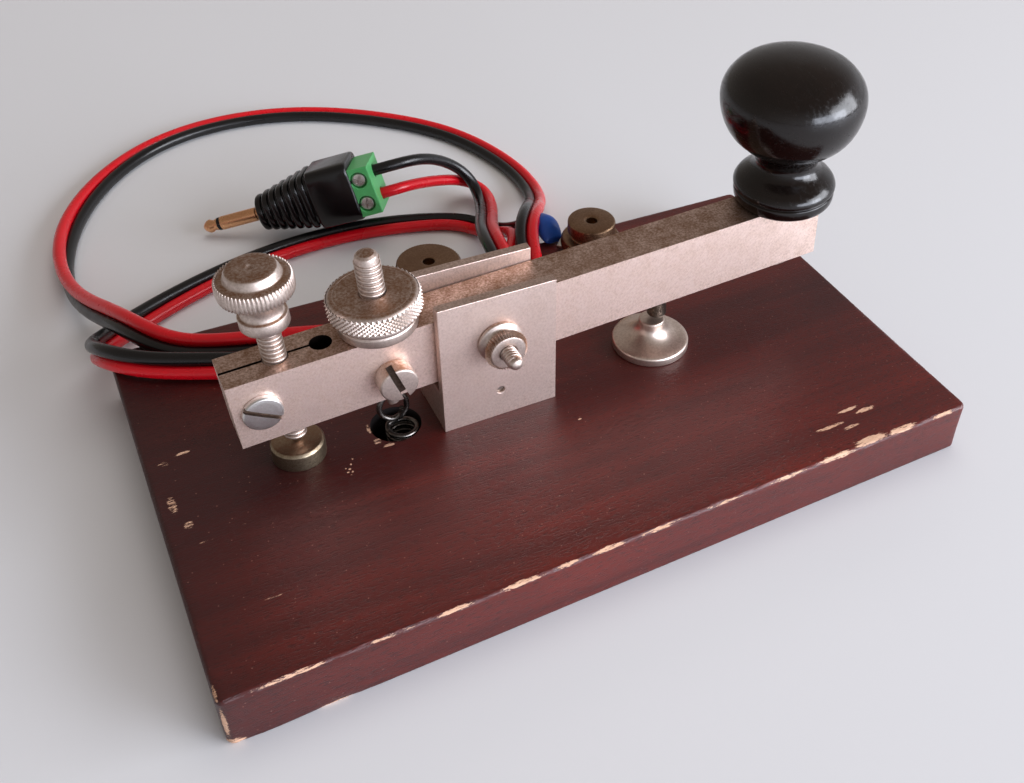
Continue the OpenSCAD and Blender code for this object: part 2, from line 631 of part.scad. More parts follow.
// The coil climbs clockwise, seen from above, and ends at its left side
function coil_point(i, n) = let (a = 180 + 360 * coil_turns * (1 - i / n))
  [coil_x + coil_r * cos(a), coil_y + coil_r * sin(a), coil_bottom + (coil_top - coil_bottom) * i / n];
spring_path = smooth(concat(
  [for (i = [0:6]) let (a = 60 + 50 * i)
    [coil_x + low_loop_r * cos(a), coil_y, anchor_z - low_loop_r + anchor_r + wire_r + 0.1 + low_loop_r * sin(a)]],
  [[coil_x + 1.5, coil_y + 0.6, coil_bottom - 1.5], [coil_x - 0.6, coil_y + 1.5, coil_bottom - 0.7]],
  [for (i = [0:12 * coil_turns]) coil_point(i, 12 * coil_turns)],
  [[coil_x - 1.9, coil_y + 0.7, coil_top + 0.9], [coil_x + 0.2, coil_y - 0.9, coil_top + 1.4]],
  [[eye_x + 2.4, lever_y - 0.8, top_loop_z - 1.6]],
  [for (i = [0:8]) let (a = 8 + 40 * i)
    [eye_x + top_loop_r * cos(a), lever_y - 0.15 + 0.03 * i * i, top_loop_z + top_loop_r * sin(a)]]
), 2);
module return_spring() color([0.12, 0.12, 0.12]) tube(spring_path, wire_r, 8);
module spring_anchor() color([0.6, 0.6, 0.6])
  translate([coil_x, coil_y, anchor_z]) rod_y(anchor_r, -anchor_l / 2 + 0.3, anchor_l / 2 - 0.3);

// Knob

knob_outline = smooth([
  [0.89, 0], [1, 0.055], [0.985, 0.1], [0.8, 0.165], [0.53, 0.26], [0.53, 0.315], [0.61, 0.4],
  [0.8, 0.47]
], 4);
bush_r = 3.2;
bush_l = 13;
module knob() color([0.05, 0.05, 0.05]) on_lever(knob_s, half_h) difference() {
  ball_foot = knob_h * 0.5;
  turned(concat(
    [[0, 0]],
    [for (q = knob_outline) [q[0] * knob_foot_r, q[1] * knob_h]],
    smooth([
      [knob_r * 0.7, ball_foot], [knob_r * 0.91, knob_h * 0.6], [knob_r, knob_h * 0.7],
      [knob_r * 0.95, knob_h * 0.81], [knob_r * 0.78, knob_h * 0.9], [knob_r * 0.46, knob_h * 0.97],
      [0, knob_h]
    ], 5)
  ));
  translate([0, 0, -past]) cylinder(r = bush_r + fit_gap, h = bush_l + 0.2 + past);
}
module knob_bush() color([0.75, 0.6, 0.3]) on_lever(knob_s, half_h) difference() {
  cylinder(r = bush_r, h = bush_l);
  translate([0, 0, -past]) cylinder(r = knob_screw_r + fit_gap, h = bush_l - 1 + past);
}
knob_head_h = 3.4;
module knob_screw() color([0.6, 0.57, 0.53]) on_lever(knob_s, -half_h) {
  difference() {
    turned(concat(
      [for (q = arc([0, -knob_head_h + knob_screw_head_r * 0.6], knob_screw_head_r * 0.6, -90, -40, 4)) q],
      [[knob_screw_head_r, -knob_head_h + knob_screw_head_r * 0.6], [knob_screw_head_r, 0], [0, 0]]
    ));
    box_at([-0.4, -knob_screw_head_r - past, -knob_head_h - past],
      [0.4, knob_screw_head_r + past, -knob_head_h + 1.2]);
  }
  translate([0, 0, -0.1]) cylinder(r = knob_screw_r, h = lever_h + bush_l - 2);
}

// Lead: round points chosen by hand, each with the roll of the flat pair, where
// 0 lays it flat with the black wire to the left of its way
pair_route = [
  [9, 79.5, 1.5, 180], [-3, 82.5, 1.9, 165], [-15, 84, 2, 165], [-28, 83.5, 2, 165],
  [-41, 81, 2, 165], [-54, 76.5, 1.9, 160], [-66, 70.5, 2.1, 145], [-75, 63, 3.6, 120],
  [-79.8, 54, 8, 100], [-79.5, 45.5, 13.5, 92], [-76, 38.5, 15.6, 80], [-69.5, 34, 15.1, 70],
  [-60, 30, 14.9, 55], [-49, 25.5, 14.5, 30], [-37, 21, 13.9, 10], [-24.5, 17.5, 13.6, 0],
  [-12, 16.5, 13.6, 0], [0, 18.5, 13.6, 0], [9.5, 25, 13.8, 0], [13.8, 35, 15.2, 0],
  [15.2, 44.5, 17, 0], [18.2, 53, 17.4, 0], [23.6, 60.2, 14.4, 0], [28.5, 67.5, 8, 0],
  [32.5, 75, 3.2, 0], [35, 84, 1.6, 0], [35.8, 96, 1.5, 0], [34, 108, 1.5, 0],
  [29.5, 119.5, 1.5, 0], [22, 130, 1.5, 0], [12, 139, 1.5, 0], [0.5, 147, 1.5, 0],
  [-12.5, 152.5, 1.5, 0], [-26, 154.5, 1.5, 0], [-40, 153, 1.5, 0], [-52.5, 147.5, 1.5, 0],
  [-63, 138.5, 1.5, -5], [-71.5, 127, 1.7, -15], [-77.5, 114, 2.1, -35], [-80.8, 101, 2.6, -60],
  [-81.5, 88, 3.5, -85], [-79.8, 76, 6, -100], [-76.8, 65, 9.8, -115], [-73.5, 55, 13.4, -125],
  [-70, 46, 15.1, -135], [-65.5, 39.5, 14.7, -140], [-58, 35.5, 14.7, -140], [-47, 32, 15.1, -115],
  [-36, 29, 15.1, -85], [-25, 26, 14.9, -55], [-14, 23.5, 14.3, -25], [-3.5, 24, 13.6, 0],
  [4, 28, 14.6, 0], [7, 35.5, 17.1, 0], [8, 44, 17, 0], [9.8, 51.5, 15.2, 0], [12.5, 59, 12, 0],
  [15.8, 66.5, 8.8, 0], [19.4, 75.3, 5, 0], [22.2, 83.5, 2.9, 0]
];
wire = lead_d / 2;
pair_points = [for (q = pair_route) [q[0], q[1], q[2]]];
function left_of(t) = unit([-t[1], t[0], 0]);
function across(i) = let (t = heading(pair_points, i), l = left_of(t))
  cos(pair_route[i][3]) * l + sin(pair_route[i][3]) * cross(t, l);
pair_section = [
  [2, 0.42], [1.45, 1], [-1.45, 1], [-2, 0.42], [-2, -0.42], [-1.45, -1], [1.45, -1], [2, -0.42]
];
module cord_pair() color([0.1, 0.1, 0.1])
  skin([for (i = [0:len(pair_points) - 1])
    let (t = heading(pair_points, i), side = across(i), up = cross(t, side))
    [for (q = pair_section) pair_points[i] + wire * (q[0] * side + q[1] * up)]]);
end_of_pair = len(pair_points) - 1;
// Middle of one wire where the pair splits, a little way past its first or last ring
tail_gap = 0.15;
function split_start(sign, far = tail_gap) = pair_points[0] + sign * wire * across(0)
  - far * heading(pair_points, 0);
function split_end(sign, far = tail_gap) = pair_points[end_of_pair] + sign * wire * across(end_of_pair)
  + far * heading(pair_points, end_of_pair);

module black_tail() color([0.05, 0.05, 0.05]) tube([
  split_start(1), split_start(1, 2.5), [14.8, 77.8, 1.5], [17.3, 73.5, 1.8], [19.5, 68, 3.2], [20.9, 62, 6.6],
  [22.5, 56.2, 11.3], mouth(right_sleeve_from, right_sleeve_to, 2),
  mouth(right_sleeve_from, right_sleeve_to)
], wire);
module red_tail() color([0.7, 0.05, 0.05]) tube([
  split_start(-1), split_start(-1, 2.5), [12.9, 74.4, 1.6], [15.2, 69, 2.6], [17, 62.5, 6], [17.2, 56, 10.2],
  [16, 50, 13.2], [13, 44.5, 13.6], [8.8, 39.5, 13.6], [5.6, 36.8, 13.7],
  mouth(left_sleeve_from, left_sleeve_to, 1.6) - [0, 0, 0.3],
  mouth(left_sleeve_from, left_sleeve_to)
], wire);

// Plug: it lies with the tip of its pin on the table and its body on the lead
plug_at = [-9.2, 84.5, 14.3];
plug_yaw = -21.6;
plug_pitch = 16;
plug_roll = 75;
// The plug's own frame: x along its axis to the wires, z towards the screw heads
module in_plug() translate(plug_at) rotate([0, 0, plug_yaw]) rotate([0, -plug_pitch, 0])
  rotate([plug_roll, 0, 0]) children();
function plug_x(v) = [v[0], v[1] * cos(plug_roll) - v[2] * sin(plug_roll),
  v[1] * sin(plug_roll) + v[2] * cos(plug_roll)];
function plug_y(v) = [v[0] * cos(plug_pitch) - v[2] * sin(plug_pitch), v[1],
  v[0] * sin(plug_pitch) + v[2] * cos(plug_pitch)];
function plug_z(v) = [v[0] * cos(plug_yaw) - v[1] * sin(plug_yaw),
  v[0] * sin(plug_yaw) + v[1] * cos(plug_yaw), v[2]];
function from_plug(v) = plug_at + plug_z(plug_y(plug_x(v)));
body_end = -block_l / 2;
pin_end = body_end - plug_l;
block_w = plug_w - 1.6;
block_d = plug_d - 1.2;
block_pitch = 6.2;
module black_plug_tail() color([0.05, 0.05, 0.05]) tube([
  split_end(1), split_end(1, 2), [20.7, 87.6, 6], [18.1, 89.4, 9.6], [13.2, 89, 13.6],
  [7.6, 86.6, 17], [2, 84, 18.9], from_plug([block_l / 2 + 4, block_pitch / 2, 0]),
  from_plug([block_l / 2 - 1.5, block_pitch / 2, 0])
], wire);
module red_plug_tail() color([0.7, 0.05, 0.05]) tube([
  split_end(-1), split_end(-1, 2), [23.9, 88.4, 3], [19.4, 90.6, 4.9],
  [14, 89.4, 7.4], [7.6, 86.6, 9.9], [1.6, 83.6, 12], from_plug([block_l / 2 + 3.2, -block_pitch / 2, 0]),
  from_plug([block_l / 2 - 1.5, -block_pitch / 2, 0])
], wire);

// Everything of the plug is turned or drawn along its axis, towards the tip
module along_plug(x) in_plug() translate([x, 0, 0]) rotate([0, -90, 0]) children();
tip_l = plug_pin_l * 0.27;
ring_l = 0.8;
module plug_tip() color([0.8, 0.55, 0.4]) along_plug(pin_end - plug_pin_l + tip_l) turned(concat(
  [[0, 0], [plug_pin_r - 0.2, 0], [plug_pin_r - 0.25, 0.4], [plug_pin_r - 0.45, 1]],
  [[plug_pin_r - 0.05, 1.9], [plug_pin_r - 0.1, 2.4], [0.8, tip_l - 0.1], [0, tip_l]]
));
module plug_insulator() color([0.05, 0.05, 0.05]) along_plug(pin_end - plug_pin_l + tip_l + ring_l)
  cylinder(r = plug_pin_r - 0.25, h = ring_l);
// The sleeve's thinner root is moulded into the body
root_r = 1.2;
root_l = 6;
module plug_sleeve() color([0.8, 0.55, 0.4]) along_plug(pin_end) {
  cylinder(r = plug_pin_r, h = plug_pin_l - tip_l - ring_l);
  translate([0, 0, -root_l]) cylinder(r = root_r, h = root_l + 0.1);
}
rib_count = 6;
rib_step = 2.3;
module plug_body() color([0.05, 0.05, 0.05]) in_plug() difference() {
  union() {
    box_from = pin_end + rib_step * rib_count;
    translate([box_from, 0, 0]) rotate([0, 90, 0]) linear_extrude(body_end - box_from) body_outline(plug_d, plug_w);
    for (i = [0:rib_count - 1]) {
      k = (i + 1) / (rib_count + 1);
      d = 10 + (plug_d - 10.5) * k;
      w = 10 + (plug_w - 10.5) * k;
      translate([pin_end + rib_step * i, 0, 0]) rotate([0, 90, 0]) {
        linear_extrude(rib_step * 0.6) body_outline(d, w);
        linear_extrude(rib_step) body_outline(d - 1.4, w - 1.4);
      }
    }
  }
  translate([pin_end - past, 0, 0]) rotate([0, 90, 0]) cylinder(r = root_r + fit_gap, h = root_l + past + fit_gap);
}
// Squarish outline whose corners are round where it is small
module body_outline(d, w) intersection() {
  square([d, w], center = true);
  circle(r = max(d, w) * 0.5 + (max(d, w) - 10) * 0.42 + 0.15);
}
module plug_block() color([0.25, 0.65, 0.35]) in_plug() difference() {
  box_at([body_end, -block_w / 2, -block_d / 2], [block_l / 2, block_w / 2, block_d / 2]);
  for (side = [-1, 1]) {
    translate([block_l / 2 - 1.8, side * block_pitch / 2, 0]) rotate([0, 90, 0])
      cylinder(r = wire + 0.15, h = 1.8 + past);
    translate([0, side * block_pitch / 2, block_d / 2 - 1.6]) cylinder(r = 1.9, h = 1.6 + past);
  }
}
module block_screws() color([0.6, 0.6, 0.6]) in_plug() for (side = [-1, 1])
  translate([0, side * block_pitch / 2, block_d / 2 - 1.6]) difference() {
    cylinder(r = 1.9 - fit_gap, h = 1.1);
    box_at([-2, -0.3, 0.5], [2, 0.3, 2]);
    box_at([-0.3, -2, 0.5], [0.3, 2, 2]);
  }

base_board();
near_cheek();
far_cheek();
bracket_block();
bracket_dowels();
bracket_screws();
near_pivot_screw();
far_pivot_screw();
near_lock_nut();
far_lock_nut();
front_anvil();
rear_anvil();
anvil_nuts();
front_strap();
rear_strap();
left_terminal_stud();
right_terminal_stud();
terminal_washers();
left_terminal_nut();
right_terminal_nut();
left_lug();
right_lug();
left_sleeve();
right_sleeve();
lever();
contact_pin();
clamp_screw();
gap_screw();
tension_nut();
tension_rod();
key_screw();
return_spring();
spring_anchor();
knob();
knob_bush();
knob_screw();
cord_pair();
black_tail();
red_tail();
black_plug_tail();
red_plug_tail();
plug_tip();
plug_insulator();
plug_sleeve();
plug_body();
plug_block();
block_screws();
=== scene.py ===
import math

import bpy
import numpy as np
from mathutils import Matrix, Vector, noise


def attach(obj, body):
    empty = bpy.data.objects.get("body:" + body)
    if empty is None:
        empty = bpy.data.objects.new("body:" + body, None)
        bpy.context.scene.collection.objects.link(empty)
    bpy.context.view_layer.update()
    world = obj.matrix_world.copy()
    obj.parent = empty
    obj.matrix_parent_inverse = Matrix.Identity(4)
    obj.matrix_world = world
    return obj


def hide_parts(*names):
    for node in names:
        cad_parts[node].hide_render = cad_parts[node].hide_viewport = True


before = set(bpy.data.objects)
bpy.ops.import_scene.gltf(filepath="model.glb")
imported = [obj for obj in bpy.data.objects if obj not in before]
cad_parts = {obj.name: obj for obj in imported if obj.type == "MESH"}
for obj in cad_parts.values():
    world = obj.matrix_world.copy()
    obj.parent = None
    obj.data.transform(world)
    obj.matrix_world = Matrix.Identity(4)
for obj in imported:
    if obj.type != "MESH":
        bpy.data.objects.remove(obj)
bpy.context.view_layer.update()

# Camera. It stands to the left of the key, a little above it, as for the photograph.
# The photograph is part of a larger picture, so its optical axis is off the middle.
scene = bpy.context.scene
scene.view_settings.view_transform = "Standard"
photo_width = 1024
photo_height = 783
sensor_width = 36
focal_px = 1104.81
axis_px = (659.72, 341.78)
camera_at = (-0.075416, -0.157435, 0.166963)
camera_right = Vector((0.862715, -0.500985, 0.068824))
camera_up = Vector((0.27331, 0.576441, 0.770077))
camera_back = Vector((-0.42547, -0.645546, 0.634228))
camera = bpy.data.objects.new("camera", bpy.data.cameras.new("camera"))
camera.data.sensor_width = sensor_width
camera.data.lens = focal_px * sensor_width / photo_width
camera.data.shift_x = (photo_width / 2 - axis_px[0]) / photo_width
camera.data.shift_y = (axis_px[1] - photo_height / 2) / photo_width
camera.data.clip_start = 0.01
camera.matrix_world = Matrix.Translation(camera_at) @ Matrix(
    (camera_right, camera_up, camera_back)
).transposed().to_4x4()
scene.collection.objects.link(camera)
scene.camera = camera

# Lead. Two stranded copper wires in soft PVC, black and red, extruded side by side with
# a thin web between them. It runs round the back of the key in one and a half loops, and
# its ends are split: to the two terminals, and to the screws of the plug.
MM = 0.001


def at(x, y, z):
    """Matrix that moves by millimetres."""
    return Matrix.Translation(Vector((x, y, z)) * MM)


def turn(degrees, axis):
    """Matrix that turns by degrees."""
    return Matrix.Rotation(math.radians(degrees), 4, axis)


wire_radius = 1.45
wire_offset = 1.42
wire_sides = 20
# Middle of the pair and its roll in degrees, where 0 lays it flat with black to the left
pair_route = [
    (9, 79.5, 1.5, 180), (-3, 82.5, 1.9, 165), (-15, 84, 2, 165), (-28, 83.5, 2, 165),
    (-41, 81, 2, 165), (-54, 76.5, 1.9, 160), (-66, 70.5, 2.1, 145), (-75, 63, 3.6, 120),
    (-79.8, 54, 8, 100), (-79.5, 45.5, 13.5, 92), (-76, 38.5, 15.6, 80), (-69.5, 34, 15.1, 70),
    (-60, 30, 14.9, 55), (-49, 25.5, 14.5, 30), (-37, 21, 13.9, 10), (-24.5, 17.5, 13.6, 0),
    (-12, 16.5, 13.6, 0), (0, 18.5, 13.6, 0), (9.5, 25, 13.8, 0), (13.8, 35, 15.2, 0),
    (16.2, 44.5, 16.9, 5), (21, 51.5, 17.4, 12), (25.4, 59, 13.6, 0), (29.3, 67, 8.8, 0),
    (33.8, 75.5, 3.8, 0), (36.6, 84, 1.8, 0), (37, 95.5, 1.5, 0), (34, 108, 1.5, 0),
    (29.5, 119.5, 1.5, 0), (22, 130, 1.5, 0), (12, 139, 1.5, 0), (0.5, 147, 1.5, 0),
    (-12.5, 152.5, 1.5, 0), (-26, 154.5, 1.5, 0), (-40, 153, 1.5, 0), (-52.5, 147.5, 1.5, 0),
    (-63, 138.5, 1.5, -5), (-71.5, 127, 1.7, -15), (-77.5, 114, 2.1, -35),
    (-80.8, 101, 2.6, -60), (-81.5, 88, 3.5, -85), (-79.8, 76, 6, -100),
    (-76.8, 65, 9.8, -115), (-73.5, 55, 13.4, -125), (-70, 46, 15.1, -135),
    (-65.5, 39.5, 14.7, -140), (-58, 35.5, 14.7, -140), (-47, 32, 15.1, -115),
    (-36, 29, 15.1, -85), (-25, 26, 14.9, -55), (-14, 23.5, 14.3, -25), (-3.5, 24, 13.6, 0),
    (4, 28, 14.6, 0), (7, 35.5, 17.1, 0), (8, 44, 17, 0), (9.8, 51.5, 15.2, 0),
    (12.5, 59, 12, 0), (15.8, 66.5, 8.8, 0), (19.4, 75.3, 5, 0), (22.2, 83.5, 2.9, 0),
]
# Split ends, from the terminals to the pair and from the pair to the plug
black_to_terminal = [
    (23.6, 49.9, 14.9), (23.55, 53.15, 14.9), (22.5, 56.2, 11.3), (20.9, 62, 6.6), (19.5, 68, 3.2),
    (17.3, 73.5, 1.8), (14.8, 77.8, 1.5),
]
red_to_terminal = [
    (0.7, 36.37, 14.9), (3.53, 36.07, 14.6), (5.6, 36.8, 13.7), (8.8, 39.5, 13.6), (13, 44.5, 13.6),
    (16, 50, 13.2), (17.2, 56, 10.2), (17, 62.5, 6), (15.2, 69, 2.6), (12.9, 74.4, 1.6),
]
black_to_plug = [
    (20.7, 87.6, 6), (18.1, 89.4, 9.6), (13.2, 89, 13.6), (7.6, 86.6, 17), (2, 84, 18.9),
]
red_to_plug = [(23.2, 88.8, 3.3), (19.2, 91, 5), (14, 89.4, 7.4), (7.6, 86.6, 9.9), (1.6, 83.6, 12)]
# The plug's own frame: x runs along it to the wires, z towards its screw heads
plug_place = at(-9.2, 84.5, 14.3) @ turn(-21.6, "Z") @ turn(-16, "Y") @ turn(75, "X")
block_length = 6.2
clamp_pitch = 6.2


def linear(hex_colour):
    """Linear RGBA of an sRGB hex colour."""
    parts = [int(hex_colour[i : i + 2], 16) / 255 for i in (1, 3, 5)]
    return [p / 12.92 if p <= 0.04045 else ((p + 0.055) / 1.055) ** 2.4 for p in parts] + [1]


def feed(node, *values, **named):
    """Sets or links a node's sockets: values fill those in use in order, others go by name."""
    by_name = [(node.inputs[name.replace("_", " ")], value) for name, value in named.items()]
    for socket, value in [*zip([s for s in node.inputs if s.enabled], values), *by_name]:
        if isinstance(value, bpy.types.Node):
            value = next(way_out for way_out in value.outputs if way_out.enabled)
        if isinstance(value, bpy.types.NodeSocket):
            node.id_data.links.new(value, socket)
        else:
            socket.default_value = linear(value) if isinstance(value, str) else value


def add(tree, kind, *values, **named):
    """A new node. Lower-case names are its settings, the rest is fed to its sockets."""
    node = tree.nodes.new(kind if "Node" in kind else "ShaderNode" + kind)
    for name in [name for name in named if name[0].islower()]:
        setattr(node, name, named.pop(name))
    feed(node, *values, **named)
    return node


def new_material(name):
    """An empty material: itself, its tree, its shader and a place on the piece."""
    material = bpy.data.materials.new(name)
    material.use_nodes = True
    tree = material.node_tree
    return material, tree, tree.nodes["Principled BSDF"], add(tree, "TexCoord").outputs["Object"]


def soft_pvc(name, colour, worn_colour):
    """Glossy plasticised PVC: smooth from the die, with faint dull smears from handling."""
    material, tree, shader, spot = new_material(name)
    smear = add(tree, "TexNoise", spot, 130, 3)
    orange_peel = add(tree, "TexNoise", spot, 1600, 2)
    feed(
        shader,
        Base_Color=add(tree, "Mix", smear, colour, worn_colour, data_type="RGBA"),
        Roughness=add(tree, "MapRange", smear, 0.35, 0.7, 0.22, 0.38),
        Normal=add(tree, "Bump", Strength=0.12, Distance=0.00005, Height=orange_peel),
    )
    return material


def through(points, steps):
    """Points of the smooth curve through the given ones."""
    p = np.array(points, float)
    p = np.vstack([2 * p[0] - p[1], p, 2 * p[-1] - p[-2]])
    t = (np.arange(steps) / steps)[:, None]
    spans = [
        (
            2 * b + (c - a) * t + (2 * a - 5 * b + 4 * c - d) * t**2
            + (3 * b - a - 3 * c + d) * t**3
        ) / 2
        for a, b, c, d in zip(p, p[1:], p[2:], p[3:])
    ]
    return np.vstack([*spans, p[-2]])


def headings(p):
    """Direction of the path at each of its points."""
    ahead = np.vstack([p[1:], p[-1]]) - np.vstack([p[0], p[:-1]])
    return ahead / np.linalg.norm(ahead, axis=1)[:, None]


def skin(rings, sides):
    """Faces over rings of points that lie one after the other, with a flat cap at each end."""
    last = (rings - 1) * sides
    return [
        *(
            (i + k, i + (k + 1) % sides, i + sides + (k + 1) % sides, i + sides + k)
            for i in range(0, last, sides) for k in range(sides)
        ),
        tuple(reversed(range(sides))), tuple(range(last, last + sides)),
    ]


def swept(path, radius, sides):
    """Round bar along a path, with closed ends: its points and faces."""
    side = np.array((0.3, 0.2, 1.0))
    rings = []
    angles = np.arange(sides) * 2 * math.pi / sides
    for point, along in zip(path, headings(path)):
        side = side - side.dot(along) * along
        side /= np.linalg.norm(side)
        rings.append(
            point
            + radius * np.outer(np.cos(angles), side)
            + radius * np.outer(np.sin(angles), np.cross(along, side))
        )
    return np.vstack(rings), skin(len(path), sides)


def new_piece(name, points, faces, material, place=Matrix.Identity(4), crease=35):
    """A mesh piece from points in millimetres, smooth but for creases over that angle."""
    mesh = bpy.data.meshes.new(name)
    mesh.from_pydata([[float(c) * MM for c in p] for p in points], [], faces)
    mesh.transform(place)
    mesh.materials.append(material)
    mesh.shade_smooth()
    mesh.set_sharp_from_angle(angle=math.radians(crease))
    piece = bpy.data.objects.new(name, mesh)
    scene.collection.objects.link(piece)
    return piece


def stand_for(piece, body, slot, *nodes):
    """The piece rides on a body and stands for CAD nodes. Its slot is not used."""
    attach(piece, body)
    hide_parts(*nodes)


pair_middle = np.array([p[:3] for p in pair_route], float)
pair_heading = headings(pair_middle)
pair_left = np.cross((0, 0, 1), pair_heading)
pair_left /= np.linalg.norm(pair_left, axis=1)[:, None]
pair_roll = np.radians([p[3] for p in pair_route])[:, None]
pair_up = np.cross(pair_heading, pair_left)
pair_across = np.cos(pair_roll) * pair_left + np.sin(pair_roll) * pair_up


def wire_path(side, to_terminal, to_plug):
    """Middle of one wire, from its terminal to its screw in the plug."""
    clamp = [
        np.array(plug_place @ (Vector((block_length / 2 + x, side * clamp_pitch / 2, 0)) * MM)) / MM
        for x in (3.4, -1.5)
    ]
    pair = pair_middle + side * wire_offset * pair_across
    path = through([*to_terminal, *pair, *to_plug, *clamp], 5)
    # A wire this thick has no kinks, so each point is drawn towards its neighbours
    for _ in range(15):
        path[2:-2] = (path[1:-3] + 2 * path[2:-2] + path[3:-1]) / 4
    return path


black_pvc = soft_pvc("black_soft_pvc", "#08080a", "#111012")
red_pvc = soft_pvc("red_soft_pvc", "#dc0a1e", "#c60c1b")
black_path = wire_path(1, black_to_terminal, black_to_plug)
red_path = wire_path(-1, red_to_terminal, red_to_plug)
black_wire = new_piece("black_wire", *swept(black_path, wire_radius, wire_sides), black_pvc)
red_wire = new_piece("red_wire", *swept(red_path, wire_radius, wire_sides), red_pvc)
stand_for(black_wire, "key_base", "black_pvc", "cord_pair", "black_tail", "black_plug_tail")
stand_for(red_wire, "key_base", "red_pvc", "cord_pair", "red_tail", "red_plug_tail")

# Table and light. The photograph was taken on a pale glazed table by a window on the
# right, so one large soft lamp stands there and the room itself gives the rest.
table_half = 3000
table_top, tree, shader, spot = new_material("pale_glazed_table")
feed(shader, Base_Color="#dadce0", Roughness=0.5, Specular_IOR_Level=0.15)
table = new_piece(
    "table", [(x * table_half, y * table_half, 0) for x, y in ((-1, -1), (1, -1), (1, 1), (-1, 1))],
    [(0, 1, 2, 3)], table_top,
)
room = bpy.data.worlds.new("room")
room.use_nodes = True
# The room is bright towards the window and dim overhead, which leaves upward faces brown
sky = room.node_tree
looking = add(sky, "TexCoord").outputs["Generated"]
overhead = add(sky, "MapRange", add(sky, "SeparateXYZ", looking).outputs["Z"], 0.1, 0.7)
to_window = add(sky, "VectorMath", looking, (0.78, -0.62, 0), operation="DOT_PRODUCT")
sunny = add(sky, "MapRange", to_window, -0.7, 0.7)
walls = add(sky, "Mix", sunny, "#a39b94", "#f4f5fb", data_type="RGBA")
dimmed = add(sky, "Mix", overhead, walls, "#968b83", data_type="RGBA")
feed(sky.nodes["Background"], Color=dimmed, Strength=0.85)
scene.world = room
# Place, target, width and height in metres, power in watts and tint of each soft lamp
soft_lamps = {
    "window": ((1.0, -0.78, 0.46), (0, 0, 0.03), 1.1, 0.7, 18, "#f4f7ff"),
    "low_front": ((0.5, -1.1, 0.3), (0, 0, 0.03), 1.2, 0.45, 14, "#e9f0ff"),
    "ceiling": ((0.3, 0.35, 1.3), (0, 0, 0), 1.2, 1.2, 6, "#fff8f2"),
}
for name, (place, target, width, height, power, tint) in soft_lamps.items():
    lamp = bpy.data.objects.new(name, bpy.data.lights.new(name, "AREA"))
    lamp.data.shape = "RECTANGLE"
    lamp.data.size = width
    lamp.data.size_y = height
    lamp.data.energy = power
    lamp.data.color = linear(tint)[:3]
    lamp.location = place
    lamp.rotation_euler = (Vector(target) - Vector(place)).to_track_quat("-Z", "Y").to_euler()
    lamp.visible_glossy = name != "ceiling"
    scene.collection.objects.link(lamp)

# Base board. One planed piece of hardwood with its grain along it, stained dark red,
# lacquered, and worn to bare wood along the edge that is handled. Its underside is
# bored and grooved for the nuts and the straps.
base_size = (155, 92.5, 12)
base_corner = 1.5
base_edge = 0.8
counterbore = 5.4
under_depth = 5
terminal_y = 37.3
lever_y = 1
front_anvil_x = 26.36
rear_anvil_x = -50.75
bracket_screw_x = (-18, -6)
terminal_x = (-10.3, 30.5)
spring_hole = (-31.84, 0.7, 5)
